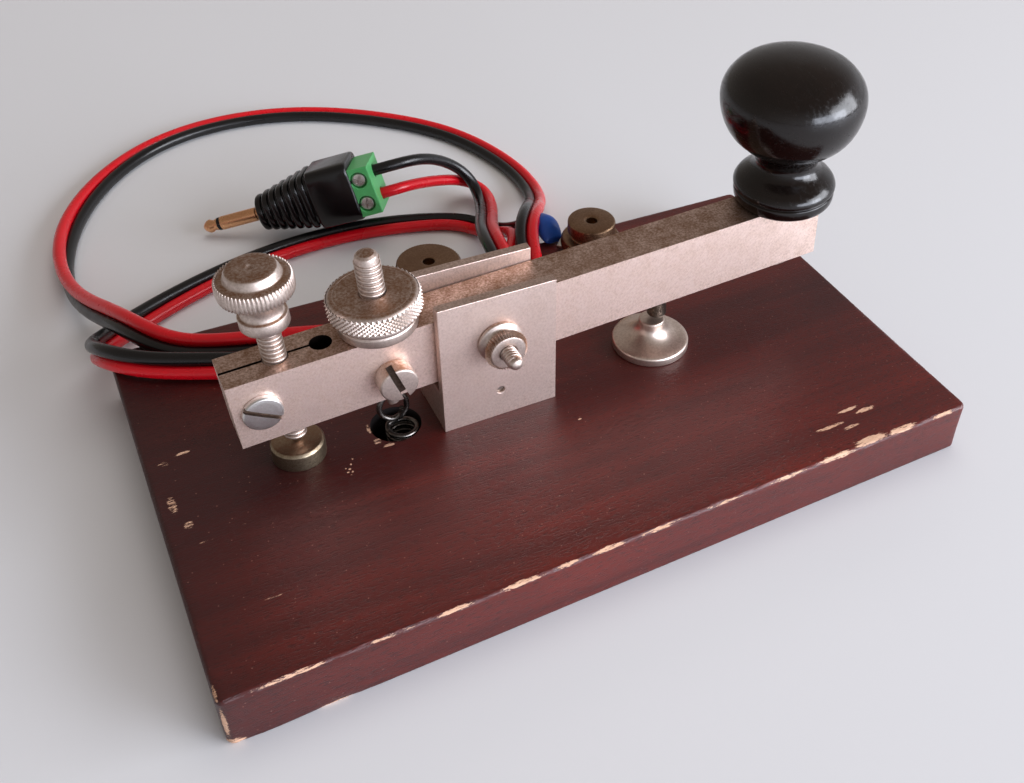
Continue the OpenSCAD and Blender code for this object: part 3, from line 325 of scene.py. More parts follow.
# Worn places: middle, half-sizes and how bare they are, from 0 to 1
worn_places = [
    ((-66, -46.1, 11.7), (12, 0.9, 0.8), 0.95), ((-50, -46.1, 11.7), (10, 0.8, 0.8), 0.88),
    ((-38, -46.1, 11.7), (7, 1, 0.9), 0.97), ((-26, -46.1, 11.7), (8, 1.2, 1), 1),
    ((-17, -46.2, 11.8), (5, 1.2, 1), 1), ((-9, -46.1, 11.7), (6, 1.2, 1), 1),
    ((2, -46.1, 11.7), (9, 0.9, 0.9), 0.95), ((16, -46.1, 11.7), (9, 0.8, 0.8), 0.88),
    ((31, -46.1, 11.7), (8, 1, 0.9), 0.95), ((43, -46, 11.8), (9, 1.5, 1.2), 1),
    ((52, -45.4, 11.9), (8, 2.4, 0.8), 1), ((60, -45.7, 11.9), (7, 1.8, 1), 1),
    ((71, -46, 11.9), (7, 1, 1.4), 0.95), ((46.5, -38.6, 12), (6, 0.9, 0.3), 1),
    ((53, -36, 12), (5, 0.8, 0.3), 1), ((56.5, -37.6, 12), (5, 1, 0.3), 1),
    ((50.5, -40.4, 12), (5, 0.8, 0.3), 0.95), ((-76.6, -46, 0.5), (4, 2.5, 2.2), 1),
    ((-60, -46.2, 0.2), (6, 1, 0.9), 0.95), ((-77.1, -45.9, 6), (1.1, 1.1, 8), 1),
    ((-77.2, -44, 11.9), (1, 4, 1), 0.95), ((-77.3, -10, 12), (0.7, 30, 0.5), 0.75),
    ((-74.6, -2, 12), (1.7, 5, 0.3), 0.85), ((-73, -8, 12), (2, 2, 0.3), 0.8),
    ((-74, 9, 12), (2.5, 1.2, 0.3), 0.85), ((-70, 10.5, 12), (3, 0.7, 0.3), 0.9),
    ((-71, -13, 12), (3, 0.5, 0.3), 0.85), ((-65, -12, 12), (3, 0.4, 0.3), 0.75),
    ((77.1, -45.7, 7), (1.1, 1.5, 6), 0.97), ((77.2, -20, 12), (0.6, 20, 0.5), 0.7),
    ((-36.6, -2.4, 12), (1.6, 1.5, 1.6), 0.95), ((-37, 1.6, 12), (0.9, 2.6, 1.6), 0.9),
    ((-35, -4.3, 12), (2.2, 0.9, 1.2), 0.95), ((-64, -30, 12), (4, 0.4, 0.3), 0.8),
    ((-43.7, -7.2, 12), (0.5, 0.5, 0.3), 1), ((-43.1, -6.1, 12), (0.4, 0.4, 0.3), 1),
    ((-44.2, -7.9, 12), (0.55, 0.4, 0.3), 1), ((-43.4, -8.1, 12), (0.4, 0.45, 0.3), 1),
    ((-42.4, -4.9, 12), (0.35, 0.35, 0.3), 1), ((-44.3, -6.8, 12), (0.3, 0.3, 0.3), 1),
    ((-43.9, -8.8, 12), (0.35, 0.3, 0.3), 1), ((1.5, -14, 12), (0.8, 0.35, 0.3), 1),
]


def lacquered_hardwood():
    """Dark red stained hardwood: short open pores along the grain, thin lacquer, bare wear."""
    material, tree, shader, spot = new_material("stained_lacquered_hardwood")
    long_grain = add(tree, "Mapping", spot, Scale=(0.06, 1, 1))
    short_grain = add(tree, "Mapping", spot, Scale=(0.2, 1, 1))
    growth = add(tree, "TexNoise", long_grain, 210, 5, 0.55, Distortion=0.4)
    pores = add(tree, "TexNoise", short_grain, 3000, 3, 0.6)
    clouds = add(tree, "TexNoise", spot, 22, 4)
    stain = add(tree, "ValToRGB", growth)
    for mark, place, tone in zip(stain.color_ramp.elements, (0.32, 0.7), ("#4a120e", "#691c13")):
        mark.position = place
        mark.color = linear(tone)
    pore_mask = add(tree, "MapRange", pores, 0.36, 0.5, 0.2, 1)
    pored = add(tree, "Mix", pore_mask, "#3a100e", stain, data_type="RGBA")
    # Painted shade: the tail end, away from the window, and the middle under the lever are
    # darkened, mixed with the real cloudy tone of the stain
    seen_at = add(tree, "SeparateXYZ", spot).outputs
    tail = add(tree, "MapRange", seen_at["X"], -0.078, -0.02, 0.62, 0)
    off_middle = add(tree, "Math", seen_at["Y"], operation="ABSOLUTE")
    under_lever_painted_shade = add(tree, "MapRange", off_middle, 0.004, 0.02, 0.4, 0)
    painted_shade = add(tree, "Math", tail, under_lever_painted_shade, operation="ADD")
    clouds_and_painted_shade = add(tree, "Math", clouds, 0.9, painted_shade, operation="MULTIPLY_ADD")
    shade = add(tree, "MapRange", clouds_and_painted_shade, 0.35, 1.15, 0, 0.85)
    # Painted shade and the clouds pull the stain towards this near-black red
    clouded_with_painted_shade = add(tree, "Mix", shade, pored, "#2a1012", data_type="RGBA")
    # Bare wood shows where the nearest worn place is strong and the lacquer's edge ragged
    bare = 0
    for middle, half, strength in worn_places:
        offset = add(tree, "VectorMath", spot, [-c * MM for c in middle], operation="ADD")
        scaled = add(tree, "VectorMath", offset, [1 / (h * MM) for h in half], operation="MULTIPLY")
        far = add(tree, "VectorMath", scaled, operation="LENGTH")
        near = add(tree, "MapRange", far, 0.35, 1.25, strength, 0)
        bare = add(tree, "Math", near, bare, operation="MAXIMUM")
    ragged = add(tree, "TexNoise", short_grain, 2300, 8, 0.8)
    torn = add(tree, "Math", bare, ragged, operation="MULTIPLY")
    bare_mask = add(tree, "MapRange", torn, 0.41, 0.45)
    speck = add(tree, "MapRange", add(tree, "TexVoronoi", spot, 620), 0.05, 0.1, 0.55, 0)
    specked = add(tree, "Mix", speck, clouded_with_painted_shade, "#94675a", data_type="RGBA")
    wood_tint = add(tree, "Mix", growth, "#b9805f", "#ecc9ad", data_type="RGBA")
    rough = add(tree, "MapRange", clouds, 0.3, 0.7, 0.3, 0.44)
    relief = add(tree, "Math", pore_mask, growth, operation="ADD")
    sunk = add(tree, "Math", relief, bare_mask, operation="SUBTRACT")
    feed(
        shader,
        Base_Color=add(tree, "Mix", bare_mask, specked, wood_tint, data_type="RGBA"),
        Roughness=add(tree, "Mix", bare_mask, rough, 0.8),
        Normal=add(tree, "Bump", Strength=0.3, Distance=0.00012, Height=sunk),
    )
    return material


def outline_of_base(inset, step=0.9):
    """Points round the base at an inset, with the direction that points inwards."""
    radius = max(base_corner - inset, 0.2)
    half_x, half_y = (size / 2 - inset - radius for size in base_size[:2])
    corners = [(half_x, half_y), (-half_x, half_y), (-half_x, -half_y), (half_x, -half_y)]
    points = []
    for i, (x, y) in enumerate(corners):
        for a in np.radians(np.linspace(90 * i, 90 * i + 90, 9)):
            c, s = math.cos(a), math.sin(a)
            points.append((x + radius * c, y + radius * s, -c, -s))
        start_x, start_y, *inwards = points[-1]
        next_x, next_y = corners[(i + 1) % 4]
        count = int(base_size[i % 2] / step)
        for k in range(1, count):
            share = k / count
            at_x, at_y = start_x + (next_x - x) * share, start_y + (next_y - y) * share
            points.append((at_x, at_y, *inwards))
    return points


def edge_loss(x, y, z):
    """How far the wood is worn or chipped back at a place on an edge."""
    loss = 0.0
    for middle, half, strength in worn_places:
        here = (x / half[0], y / half[1], z / half[2])
        far = math.dist(here, [m / h for m, h in zip(middle, half)])
        loss = max(loss, strength * max(0.0, 1.3 - far))
    grain = noise.noise(Vector((x * 0.35, y, z * 0.8))) * 0.5 + 0.5
    fine = noise.noise(Vector((x * 1.6, y * 3, z * 3 + 9))) * 0.5 + 0.5
    return loss * (0.25 + grain * fine)


# Inset and height of each ring: up the side, over the eased edge and onto the top
base_profile = [
    (0.4, 0), (0.12, 0.12), (0, 0.4), (0, 1.5), (0, 4), (0, 7), (0, 9.5), (0, 10.6),
    *((base_edge * (1 - math.cos(a)), base_size[2] - base_edge * (1 - math.sin(a)))
      for a in np.radians((0, 22.5, 45, 67.5, 90))),
    (1.3, 12), (2.0, 12), (2.9, 12),
]
base_points = []
for level, (inset, z) in enumerate(base_profile):
    for x, y, inward_x, inward_y in outline_of_base(inset):
        loss = edge_loss(x, y, z) * 0.3 if 0 < level < len(base_profile) - 1 else 0
        down = loss * (0.8 if z > 9 else -0.5 if z < 1.5 else 0)
        back = loss * (inset < 1)
        base_points.append((x + inward_x * back, y + inward_y * back, z - down))
base_faces = skin(len(base_profile), len(base_points) // len(base_profile))


def cut(piece, *cutters, bevel=0):
    """The piece with the cutters taken out of it, and its sharp edges eased."""
    for cutter in cutters:
        taken = piece.modifiers.new("cut", "BOOLEAN")
        taken.object = cutter
        taken.operation = "DIFFERENCE"
        taken.solver = "EXACT"
        taken.material_mode = "TRANSFER"
    if bevel:
        eased = piece.modifiers.new("ease", "BEVEL")
        eased.width = bevel * MM
        eased.segments = 2
        eased.limit_method = "ANGLE"
        eased.angle_limit = math.radians(40)
    apply_modifiers(piece)
    for cutter in cutters:
        bpy.data.objects.remove(cutter)
    # Each strip of an eased edge stays flat, so that large faces aren't shaded by their rims
    piece.data.set_sharp_from_angle(angle=math.radians(15))
    return piece


def apply_modifiers(piece):
    """Turns what a piece's modifiers make into its plain mesh."""
    finished = piece.evaluated_get(bpy.context.evaluated_depsgraph_get())
    made = bpy.data.meshes.new_from_object(finished)
    piece.modifiers.clear()
    piece.data = made


def bore(radius, low, high, place=Matrix.Identity(4), sides=48, material=None):
    """A round cutter along its own Z, between two heights."""
    angles = [2 * math.pi * k / sides for k in range(sides)]
    points = [(radius * math.cos(a), radius * math.sin(a), z) for z in (low, high) for a in angles]
    return new_piece("cutter", points, skin(2, sides), material, place)


def box(low, high, place=Matrix.Identity(4), material=None, name="cutter"):
    """A box between two corners, such as a saw cut's cutter."""
    corners = [
        (x, y, z) for z in (low[2], high[2])
        for x, y in ((low[0], low[1]), (high[0], low[1]), (high[0], high[1]), (low[0], high[1]))
    ]
    return new_piece(name, corners, skin(2, 4), material, place)


def groove(start, end, width=7):
    """Cutter for a straight groove in the underside, between two bores."""
    run = Vector(end) - Vector(start)
    along = at(*start, 0) @ Matrix.Rotation(math.atan2(run.y, run.x), 4, "Z")
    return box((0, -width / 2, -1), (run.length, width / 2, under_depth), along)


# The spring hole's wall is painted near black: painted shade down in the bore
spring_hole_painted_shade, tree, shader, spot = new_material("painted_shade_spring_hole_wall")
feed(shader, Base_Color="#160b0a", Roughness=0.75)
base = new_piece("base", base_points, base_faces, lacquered_hardwood())
bores = [
    (front_anvil_x, lever_y), (rear_anvil_x, lever_y), *((x, lever_y) for x in bracket_screw_x),
    *((x, terminal_y) for x in terminal_x),
]
cut(
    base,
    bore(spring_hole[2], -1, 13, at(*spring_hole[:2], 0), 64, spring_hole_painted_shade),
    *(bore(counterbore, -1, under_depth, at(x, y, 0)) for x, y in bores),
    groove(bores[0], bores[5]), groove(bores[3], bores[4]),
)
stand_for(base, "key_base", "lacquered_wood", "base_board")

# Bracket. Two brass cheeks with a satin nickel plate stand on each side of the lever. A
# sawn brass block between them is screwed to the wood from below, and three steel dowels,
# driven through all three, hold it together.
pivot = (-12, lever_y, 31.4)
base_top = base_size[2]
cheek_in = 4.8
cheek_out = 6.8
cheek_high = 42
block_high = 21
cheek_half = 12
dowel_radius = 0.8
dowel_at = (pivot[0], 18.57)
dowel_sink = 0.5


def plated(
    name, fresh, dull, rough, lay=(1, 1, 1), turned=False, painted_top_reflection=0.0, mottling=0.8, depth=0.00002,
):
    """Satin plate or bare metal: fine grain, sparkling grit, and a painted brown reflection of the
    room on faces that look up.
    """
    material, tree, shader, spot = new_material(name)
    # The grain follows the cut: along the bar, or round a turned piece by its own map
    way = add(tree, "UVMap", uv_map="turned") if turned else spot
    laid = add(tree, "Mapping", way, Scale=(0.003, 1, 1) if turned else lay)
    grain = add(tree, "TexNoise", laid, 2900, 4, 0.7)
    grit = add(tree, "TexNoise", spot, 2100, 3, 0.7)
    sparkle = add(tree, "MapRange", grit, 0.38, 0.66, 0, 0.5)
    patches = add(tree, "TexNoise", spot, 260, 5, 0.6)
    mottle = add(tree, "Math", sparkle, patches, operation="ADD")
    uneven = add(tree, "MapRange", mottle, 0.45, 1.1, 0, mottling)
    # Painted reflection: faces that look up are painted brown, patchy with the mottle, for the dim
    # brown room overhead
    facing = add(tree, "SeparateXYZ", add(tree, "TexCoord").outputs["Normal"]).outputs
    up = add(tree, "MapRange", facing["Z"], 0.6, 0.95, 0, painted_top_reflection)
    painted_reflection_mask = add(tree, "Math", up, mottle, operation="MULTIPLY", use_clamp=True)
    clean = add(tree, "Mix", uneven, fresh, dull, data_type="RGBA")
    relief = add(tree, "Math", grain, 0.6, grit, operation="MULTIPLY_ADD")
    feed(
        shader,
        Metallic=1,
        Base_Color=add(tree, "Mix", painted_reflection_mask, clean, "#97745c", data_type="RGBA"),
        Roughness=add(tree, "MapRange", uneven, 0, 1, rough, rough + 0.16),
        Normal=add(tree, "Bump", Strength=0.5, Distance=depth, Height=relief),
    )
    return material


satin_nickel = plated(
    "satin_nickel_plate", "#eed9cf", "#bda599", 0.46, (0.3, 1, 1), painted_top_reflection=0.5, mottling=0.7,
)
turned_steel = plated("turned_steel", "#cbc6bf", "#8f8a84", 0.28, turned=True)
dowel_hole = dowel_radius + 0.04
for side, node in ((-1, "near_cheek"), (1, "far_cheek")):
    inner, outer = sorted((lever_y + side * cheek_in, lever_y + side * cheek_out))
    cheek = box(
        (pivot[0] - cheek_half, inner, base_top), (pivot[0] + cheek_half, outer, cheek_high),
        material=satin_nickel, name=node + "_plate",
    )
    cut(
        cheek,
        bore(1.6, inner - 1, outer + 1, at(pivot[0], 0, pivot[2]) @ turn(-90, "X"), 32),
        bore(
            dowel_hole, inner - 1, outer + 1, at(dowel_at[0], 0, dowel_at[1]) @ turn(-90, "X"), 32,
        ),
        bevel=0.1,
    )
    stand_for(cheek, "key_base", "satin_nickel", node)
block_half_length = cheek_half - 0.05
block = box(
    (pivot[0] - block_half_length, lever_y - cheek_in, base_top),
    (pivot[0] + block_half_length, lever_y + cheek_in, block_high),
    material=satin_nickel, name="bracket_middle",
)
stand_for(cut(block, bevel=0.2), "key_base", "satin_nickel", "bracket_block")


def eased(outline, ease=0.15, steps=3):
    """The outline of a turned piece with its sharp corners rounded."""
    points = [Vector(p) for p in outline]
    rounded = [points[0]]
    for before, corner, after in zip(points, points[1:], points[2:]):
        back, on = before - corner, after - corner
        if back.angle(on, math.pi) > math.radians(150):
            rounded.append(corner)
            continue
        a = corner + back.normalized() * min(ease, back.length / 2.2)
        b = corner + on.normalized() * min(ease, on.length / 2.2)
        for k in range(steps + 1):
            t = k / steps
            rounded.append(a * (1 - t) ** 2 + corner * 2 * t * (1 - t) + b * t**2)
    return rounded + [points[-1]]


def turned(name, outline, material, place, ease=0.15, sides=96):
    """A piece turned about its own Z from (radius, height) points; a bored one is closed inside."""
    outline = eased(outline, ease)
    bored = outline[0][0] > 0
    if bored:
        outline.append(outline[0])
    run = [0.0]
    for a, b in zip(outline, outline[1:]):
        run.append(run[-1] + (b - a).length * MM)
    rows = []
    points = []
    for i, (radius, height) in enumerate(outline):
        if bored and i == len(outline) - 1:
            rows.append(rows[0])
        elif radius <= 0:
            rows.append([len(points)] * sides)
            points.append((0, 0, height))
        else:
            rows.append(range(len(points), len(points) + sides))
            angles = [2 * math.pi * k / sides for k in range(sides)]
            points += [(radius * math.cos(a), radius * math.sin(a), height) for a in angles]
    faces = []
    spread = []
    for i, (row, after) in enumerate(zip(rows, rows[1:])):
        for k in range(sides):
            on = (k + 1) % sides
            corners = [
                (row[k], k, i), (row[on], k + 1, i),
                (after[on], k + 1, i + 1), (after[k], k, i + 1),
            ]
            # At a pole, two corners are the same point
            if row[k] == row[on]:
                corners.pop(1)
            elif after[k] == after[on]:
                corners.pop(3)
            faces.append([c[0] for c in corners])
            spread += [(c[1] / sides, run[c[2]]) for c in corners]
    piece = new_piece(name, points, faces, material, place, 50)
    layer = piece.data.uv_layers.new(name="turned")
    layer.data.foreach_set("uv", np.array(spread, np.float32).ravel())
    return piece


def join(name, *pieces):
    """One piece from several, under a new name."""
    with bpy.context.temp_override(
        active_object=pieces[0], selected_objects=pieces, selected_editable_objects=pieces
    ):
        bpy.ops.object.join()
    pieces[0].name = pieces[0].data.name = name
    return pieces[0]


dowel_end = cheek_out - dowel_sink
dowel = turned(
    "bracket_pins",
    [(0, -dowel_end), (dowel_radius, -dowel_end), (dowel_radius, dowel_end), (0, dowel_end)],
    turned_steel, at(dowel_at[0], lever_y, dowel_at[1]) @ turn(-90, "X"), sides=32,
)
stand_for(dowel, "key_base", "bright_steel", "bracket_dowels")


def dress(material, *nodes):
    """The CAD nodes whose own shape stays, in a finish of this scene."""
    for node in nodes:
        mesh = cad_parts[node].data
        mesh.materials.clear()
        mesh.materials.append(material)


plain_steel = plated("plain_steel", "#b9b5ae", "#7f7a74", 0.34)
dress(plain_steel, "bracket_screws")

# Pivot. The lever swings on the plain ends of two steel screws in the cheeks. A nickelled
# brass lock nut with a flange and a straight knurled ring sits on each screw's thread.
lever_half = 4.5
nut_foot = 2.35
screw_end = 10.9
pivot_screw_outline = [
    (0, -2.4), (1, -2.4), (1, 0.4), (1.3, 0.7), (1.4, 2.4), (1.45, screw_end - 1.5),
    (1.4, screw_end - 0.9), (1.1, screw_end - 0.35), (0.6, screw_end - 0.07), (0, screw_end),
]
lock_nut_outline = [(radius, nut_foot + rise) for radius, rise in (
    (1.7, 0), (4.3, 0), (4.5, 0.2), (4.5, 0.6), (4.3, 0.85), (3.9, 0.95), (3.5, 1.2), (3.25, 1.6),
    (3.2, 1.95), (3.55, 2.1), (3.62, 2.3), (3.62, 4.05), (3.5, 4.25), (3.3, 4.3), (1.9, 4.3),
    (1.7, 4.15),
)]
turned_nickel = plated(
    "turned_nickel_plate", "#dccdc4", "#a5948a", 0.43, turned=True, painted_top_reflection=1.1, mottling=0.6,
    depth=0.000008,
)


def open_tree(name, counts, sizes):
    """A new geometry tree with named whole-number and length inputs, and their sockets."""
    tree = bpy.data.node_groups.new(name, "GeometryNodeTree")
    kinds = {
        "Geometry": "Geometry", **dict.fromkeys(counts, "Int"), **dict.fromkeys(sizes, "Float"),
        "Material": "Material",
    }
    for label, kind in kinds.items():
        tree.interface.new_socket(label, in_out="INPUT", socket_type="NodeSocket" + kind)
    tree.interface.new_socket("Geometry", in_out="OUTPUT", socket_type="NodeSocketGeometry")
    return tree, add(tree, "NodeGroupInput").outputs


def close_tree(tree, given, grown):
    """Ends a tree: what has grown joins the piece as plain mesh in the given material."""
    joined = add(tree, "GeometryNodeJoinGeometry", grown)
    tree.links.new(given["Geometry"], joined.inputs[0])
    solid = add(tree, "GeometryNodeRealizeInstances", joined)
    finished = add(tree, "GeometryNodeSetMaterial", solid, Material=given["Material"])
    add(tree, "NodeGroupOutput", finished)


# Knurling: pressed teeth stand round the piece in rows, each row half a tooth on
knurl, given = open_tree(
    "knurling", ("Count", "Rows", "Sides"),
    ("Radius", "Bottom", "Rise", "Tooth Height", "Tooth Width", "Tooth Depth"),
)
teeth = add(knurl, "Math", given["Count"], given["Rows"], operation="MULTIPLY")
cloud = add(knurl, "GeometryNodePoints", teeth)
index = add(knurl, "GeometryNodeInputIndex")
level = add(knurl, "Math", index, given["Count"], operation="DIVIDE")
row = add(knurl, "Math", level, operation="FLOOR")
odd = add(knurl, "Math", row, 2, operation="MODULO")
staggered = add(knurl, "Math", odd, 0.5, index, operation="MULTIPLY_ADD")
share = add(knurl, "Math", staggered, given["Count"], operation="DIVIDE")
angle = add(knurl, "Math", share, 2 * math.pi, operation="MULTIPLY")
across = [add(knurl, "Math", angle, operation=wave) for wave in ("COSINE", "SINE")]
spot = add(
    knurl, "CombineXYZ",
    *(add(knurl, "Math", unit, given["Radius"], operation="MULTIPLY") for unit in across),
    add(knurl, "Math", row, given["Rise"], given["Bottom"], operation="MULTIPLY_ADD"),
)
tooth = add(
    knurl, "GeometryNodeMeshCone", Vertices=given["Sides"], Radius_Top=0, Radius_Bottom=1, Depth=1,
)
teeth = add(
    knurl, "GeometryNodeInstanceOnPoints",
    Points=add(knurl, "GeometryNodeSetPosition", cloud, Position=spot), Instance=tooth,
    Rotation=add(knurl, "CombineXYZ", 0, math.pi / 2, angle),
    Scale=add(
        knurl, "CombineXYZ", given["Tooth Height"], given["Tooth Width"], given["Tooth Depth"],
    ),
)
close_tree(knurl, given, teeth)


def with_tree(piece, tree, place, material, **sizes):
    """Runs a tree on a piece in its own frame. Whole numbers are counts, others millimetres."""
    piece.data.transform(place.inverted())
    added = piece.modifiers.new(tree.name, "NODES")
    added.node_group = tree
    labels = {s.name: s.identifier for s in tree.interface.items_tree if s.in_out == "INPUT"}
    added[labels["Material"]] = material
    for label, value in sizes.items():
        added[labels[label.replace("_", " ")]] = value if isinstance(value, int) else value * MM
    apply_modifiers(piece)
    piece.data.transform(place)


# Thread: a rounded ridge wound on the core
thread, given = open_tree("thread", (), ("Radius", "Bottom", "Length", "Pitch", "Ridge"))
helix = add(
    thread, "GeometryNodeCurveSpiral", Resolution=28, Height=given["Length"],
    Rotations=add(thread, "Math", given["Length"], given["Pitch"], operation="DIVIDE"),
    Start_Radius=given["Radius"], End_Radius=given["Radius"],
)
ridge = add(thread, "GeometryNodeCurvePrimitiveCircle", Resolution=8, Radius=given["Ridge"])
wound = add(thread, "GeometryNodeCurveToMesh", Curve=helix, Profile_Curve=ridge, Fill_Caps=True)
raised = add(thread, "CombineXYZ", Z=given["Bottom"])
close_tree(thread, given, add(thread, "GeometryNodeTransform", wound, Translation=raised))

for side, which in ((-1, "near"), (1, "far")):
    place = at(pivot[0], lever_y + side * lever_half, pivot[2]) @ turn(-side * 90, "X")
    screw = turned(f"{which}_pivot_bolt", pivot_screw_outline, turned_nickel, place, sides=48)
    with_tree(
        screw, thread, place, turned_nickel, Radius=1.38, Bottom=2.6, Length=screw_end - 3.9,
        Pitch=0.72, Ridge=0.27,
    )
    stand_for(screw, "key_base", "bright_steel", f"{which}_pivot_screw")
    nut = turned(f"{which}_lock_ring", lock_nut_outline, turned_nickel, place, 0.12)
    with_tree(
        nut, knurl, place, turned_nickel, Count=42, Rows=1, Radius=3.66, Bottom=nut_foot + 3.15,
        Tooth_Height=1.5, Tooth_Width=0.34, Tooth_Depth=0.66, Sides=4,
    )
    stand_for(nut, f"{which}_lock_nut", "satin_nickel", f"{which}_lock_nut")

# Contacts on the wood. The front one is a bell turned from brass and nickelled, the rear
# one a plain disc whose plate has browned. Each has a stud through the wood, and a nut in
# a bore below clamps it over a brass strap that leads to a terminal.
front_bell_outline = [
    (0, 0), (8.1, 0), (8.4, 0.25), (8.4, 1.75), (8.2, 2.05), (7.75, 2.25), (6.9, 2.4), (5.9, 2.65),
    (4.9, 3.05), (4.0, 3.6), (3.3, 4.3), (2.9, 5.1), (2.8, 5.8), (2.8, 6.85), (2.6, 7.1), (0, 7.1),
]
rear_disc_outline = [(0, 0), (4.95, 0), (5.05, 0.1), (5.05, 3.4), (4.6, 3.95), (4.3, 4), (0, 4)]
stud_outline = [(0, -10.6), (1.8, -10.6), (1.8, 0.4), (0, 0.4)]
contact_nickel = plated(
    "satin_nickel_contact", "#ecdcd1", "#b5a294", 0.36, turned=True, painted_top_reflection=0.25, mottling=0.4,
    depth=0.000003,
)
brass_disc = plated("browned_nickel_on_brass", "#a89a84", "#6b5c48", 0.34, turned=True, painted_top_reflection=0.8)
for name, x, outline, finish, node in (
    ("front_contact_bell", front_anvil_x, front_bell_outline, contact_nickel, "front_anvil"),
    ("rear_contact_disc", rear_anvil_x, rear_disc_outline, brass_disc, "rear_anvil"),
):
    place = at(x, lever_y, base_top)
    anvil = turned(name, outline, finish, place)
    stud = turned("stud", stud_outline, finish, place, sides=32)
    stand_for(join(name, anvil, stud), "key_base", "nickel_brass", node)
bare_brass = plated("rolled_brass", "#c39a52", "#7f6032", 0.32)
dress(plain_steel, "anvil_nuts")
dress(bare_brass, "front_strap", "rear_strap")

# Terminals. Each knurled brass nut, browned with age, clamps a tinned crimp lug on a
# brass stud. The left nut stands upside down. Blue vinyl sleeves cover the crimps.
terminal_bore = 1.35
nut_high = 7.8
nut_seat = base_top + 1.65
terminal_outline = [
    (terminal_bore, 0.15), (terminal_bore + 0.2, 0), (6.7, 0), (7.0, 0.3), (7.0, 2.95),
    (6.7, 3.25), (5.0, 3.3), (4.8, 3.5), (4.8, 4.3), (5.0, 4.5), (5.5, 4.55), (5.7, 4.8),
    (5.7, 7.35), (5.45, 7.7), (5.1, 7.8), (1.9, 7.8), (terminal_bore, 7.45),
]
brown_brass = plated("browned_brass", "#957960", "#513d2d", 0.36, turned=True, painted_top_reflection=0.5)
dress(bare_brass, "terminal_washers", "left_terminal_stud", "right_terminal_stud")
for side, x in zip(("left", "right"), terminal_x):
    place = at(x, terminal_y, nut_seat)
    if side == "left":
        place = at(x, terminal_y, nut_seat + nut_high) @ turn(180, "X")
    nut = turned(f"{side}_terminal_thumb_nut", terminal_outline, brown_brass, place)
    with_tree(
        nut, knurl, place, brown_brass, Count=64, Rows=1, Radius=7.04, Bottom=1.62,
        Tooth_Height=1.5, Tooth_Width=0.36, Tooth_Depth=0.3, Sides=4,
    )
    stand_for(nut, f"{side}_terminal_nut", "brown_brass", f"{side}_terminal_nut")

tin = plated("tin_plate", "#d8d4cc", "#9c968d", 0.26)
sleeve_z = base_top + 2.9
lug_top = base_top + 0.8
lug_thick = 0.8
ring_radius = 4.2
tongue_half = 1.75


def soft_vinyl(name, colour, shade):
    """Dip-moulded vinyl: even colour, a soft low gloss and a faintly wavy surface."""
    material, tree, shader, spot = new_material(name)
    wave = add(tree, "TexNoise", spot, 420, 3)
    feed(
        shader,
        Base_Color=add(tree, "Mix", wave, colour, shade, data_type="RGBA"),
        Roughness=0.42,
        Normal=add(tree, "Bump", Strength=0.4, Distance=0.0001, Height=wave),
    )
    return material


blue_vinyl = soft_vinyl("blue_dipped_vinyl", "#1b55b4", "#123d8a")
crimps = {
    "left": (terminal_x[0], (-4.3, 36.9), (0.4, 36.4)),
    "right": (terminal_x[1], (23.7, 43), (23.6, 49.6)),
}
for side, (x, start, end) in crimps.items():
    run = Vector(end) - Vector(start)
    place = at(*start, sleeve_z) @ turn(math.degrees(math.atan2(run.y, run.x)), "Z") @ turn(90, "Y")
    long = run.length
    # Rings along the sleeve: place, half-width, half-height, and how far it sits below its axis
    rings = [
        (0.7, 1.9, 0.62, 1.5), (0.75, 2.15, 0.8, 1.5), (1.2, 2.45, 1.1, 1.3),
        (2.2, 2.75, 1.85, 0.75), (3.2, 2.85, 2.5, 0.25), (4, 2.85, 2.8, 0),
        (long - 1.2, 2.85, 2.8, 0), (long - 0.4, 2.6, 2.6, 0), (long + 0.9, 2.15, 2.15, 0),
        (long + 1.45, 1.95, 1.95, 0), (long + 1.5, 1.5, 1.5, 0), (long + 0.9, 1.4, 1.4, 0),
    ]
    angles = np.arange(40) * 2 * math.pi / 40
    shell = [
        (low + tall * math.cos(a), wide * math.sin(a), t)
        for t, wide, tall, low in rings for a in angles
    ]
    sleeve = new_piece(
        f"{side}_crimp_sleeve", shell, skin(len(rings), len(angles)), blue_vinyl, place, 60,
    )
    stand_for(sleeve, "key_base", "blue_vinyl", f"{side}_sleeve")
    crimp_barrel = turned(
        "barrel", [(1.4, 3.3), (1.85, 3.25), (1.9, 3.35), (1.9, long), (1.4, long)], tin, place,
        0.1, 48,
    )
    # The ring and the tongue are one stamping, drawn here as an outline with a hole
    towards = Vector(start) - Vector((x, terminal_y))
    reach = towards.length - 0.9
    neck = math.asin(tongue_half / ring_radius)
    outline = [
        *((ring_radius * math.cos(a), ring_radius * math.sin(a))
          for a in np.linspace(neck, 2 * math.pi - neck, 44)),
        (reach, -tongue_half), (reach + 0.1, tongue_half),
    ]
    stud_place = at(x, terminal_y, lug_top)
    tongue = new_piece(
        "tongue", [(*p, z) for z in (0, lug_thick) for p in outline], skin(2, len(outline)), tin,
        stud_place @ turn(math.degrees(math.atan2(towards.y, towards.x)), "Z"),
    )
    cut(tongue, bore(1.5, -1, 2, stud_place, 32), bevel=0.08)
    lug = join(f"{side}_crimp_lug", tongue, crimp_barrel)
    stand_for(lug, "key_base", "tinned_copper", f"{side}_lug")

# Lever. A square-edged brass bar, sawn, filed and nickelled to a satin. Its tail is slit
# down to a drilled hole, so that the clamp screw can pinch the gap screw.
tilt = math.radians(3)
lever_deep = 7.2
lever_front = 76.6
lever_rear = 49.3
rod_s = 20.5
gap_s = 39.5
clamp_s = 44.35
slit_hole_s = 31.3
contact_s = 38.8
knob_s = 69.6
key_t = -1.8
lever_place = at(*pivot) @ Matrix.Rotation(-tilt, 4, "Y")
across = turn(90, "X")


def on_lever(s, t=0):
    """Place in the lever's own frame: s along it from the pivot, t above its middle line."""
    return lever_place @ at(s, 0, t)
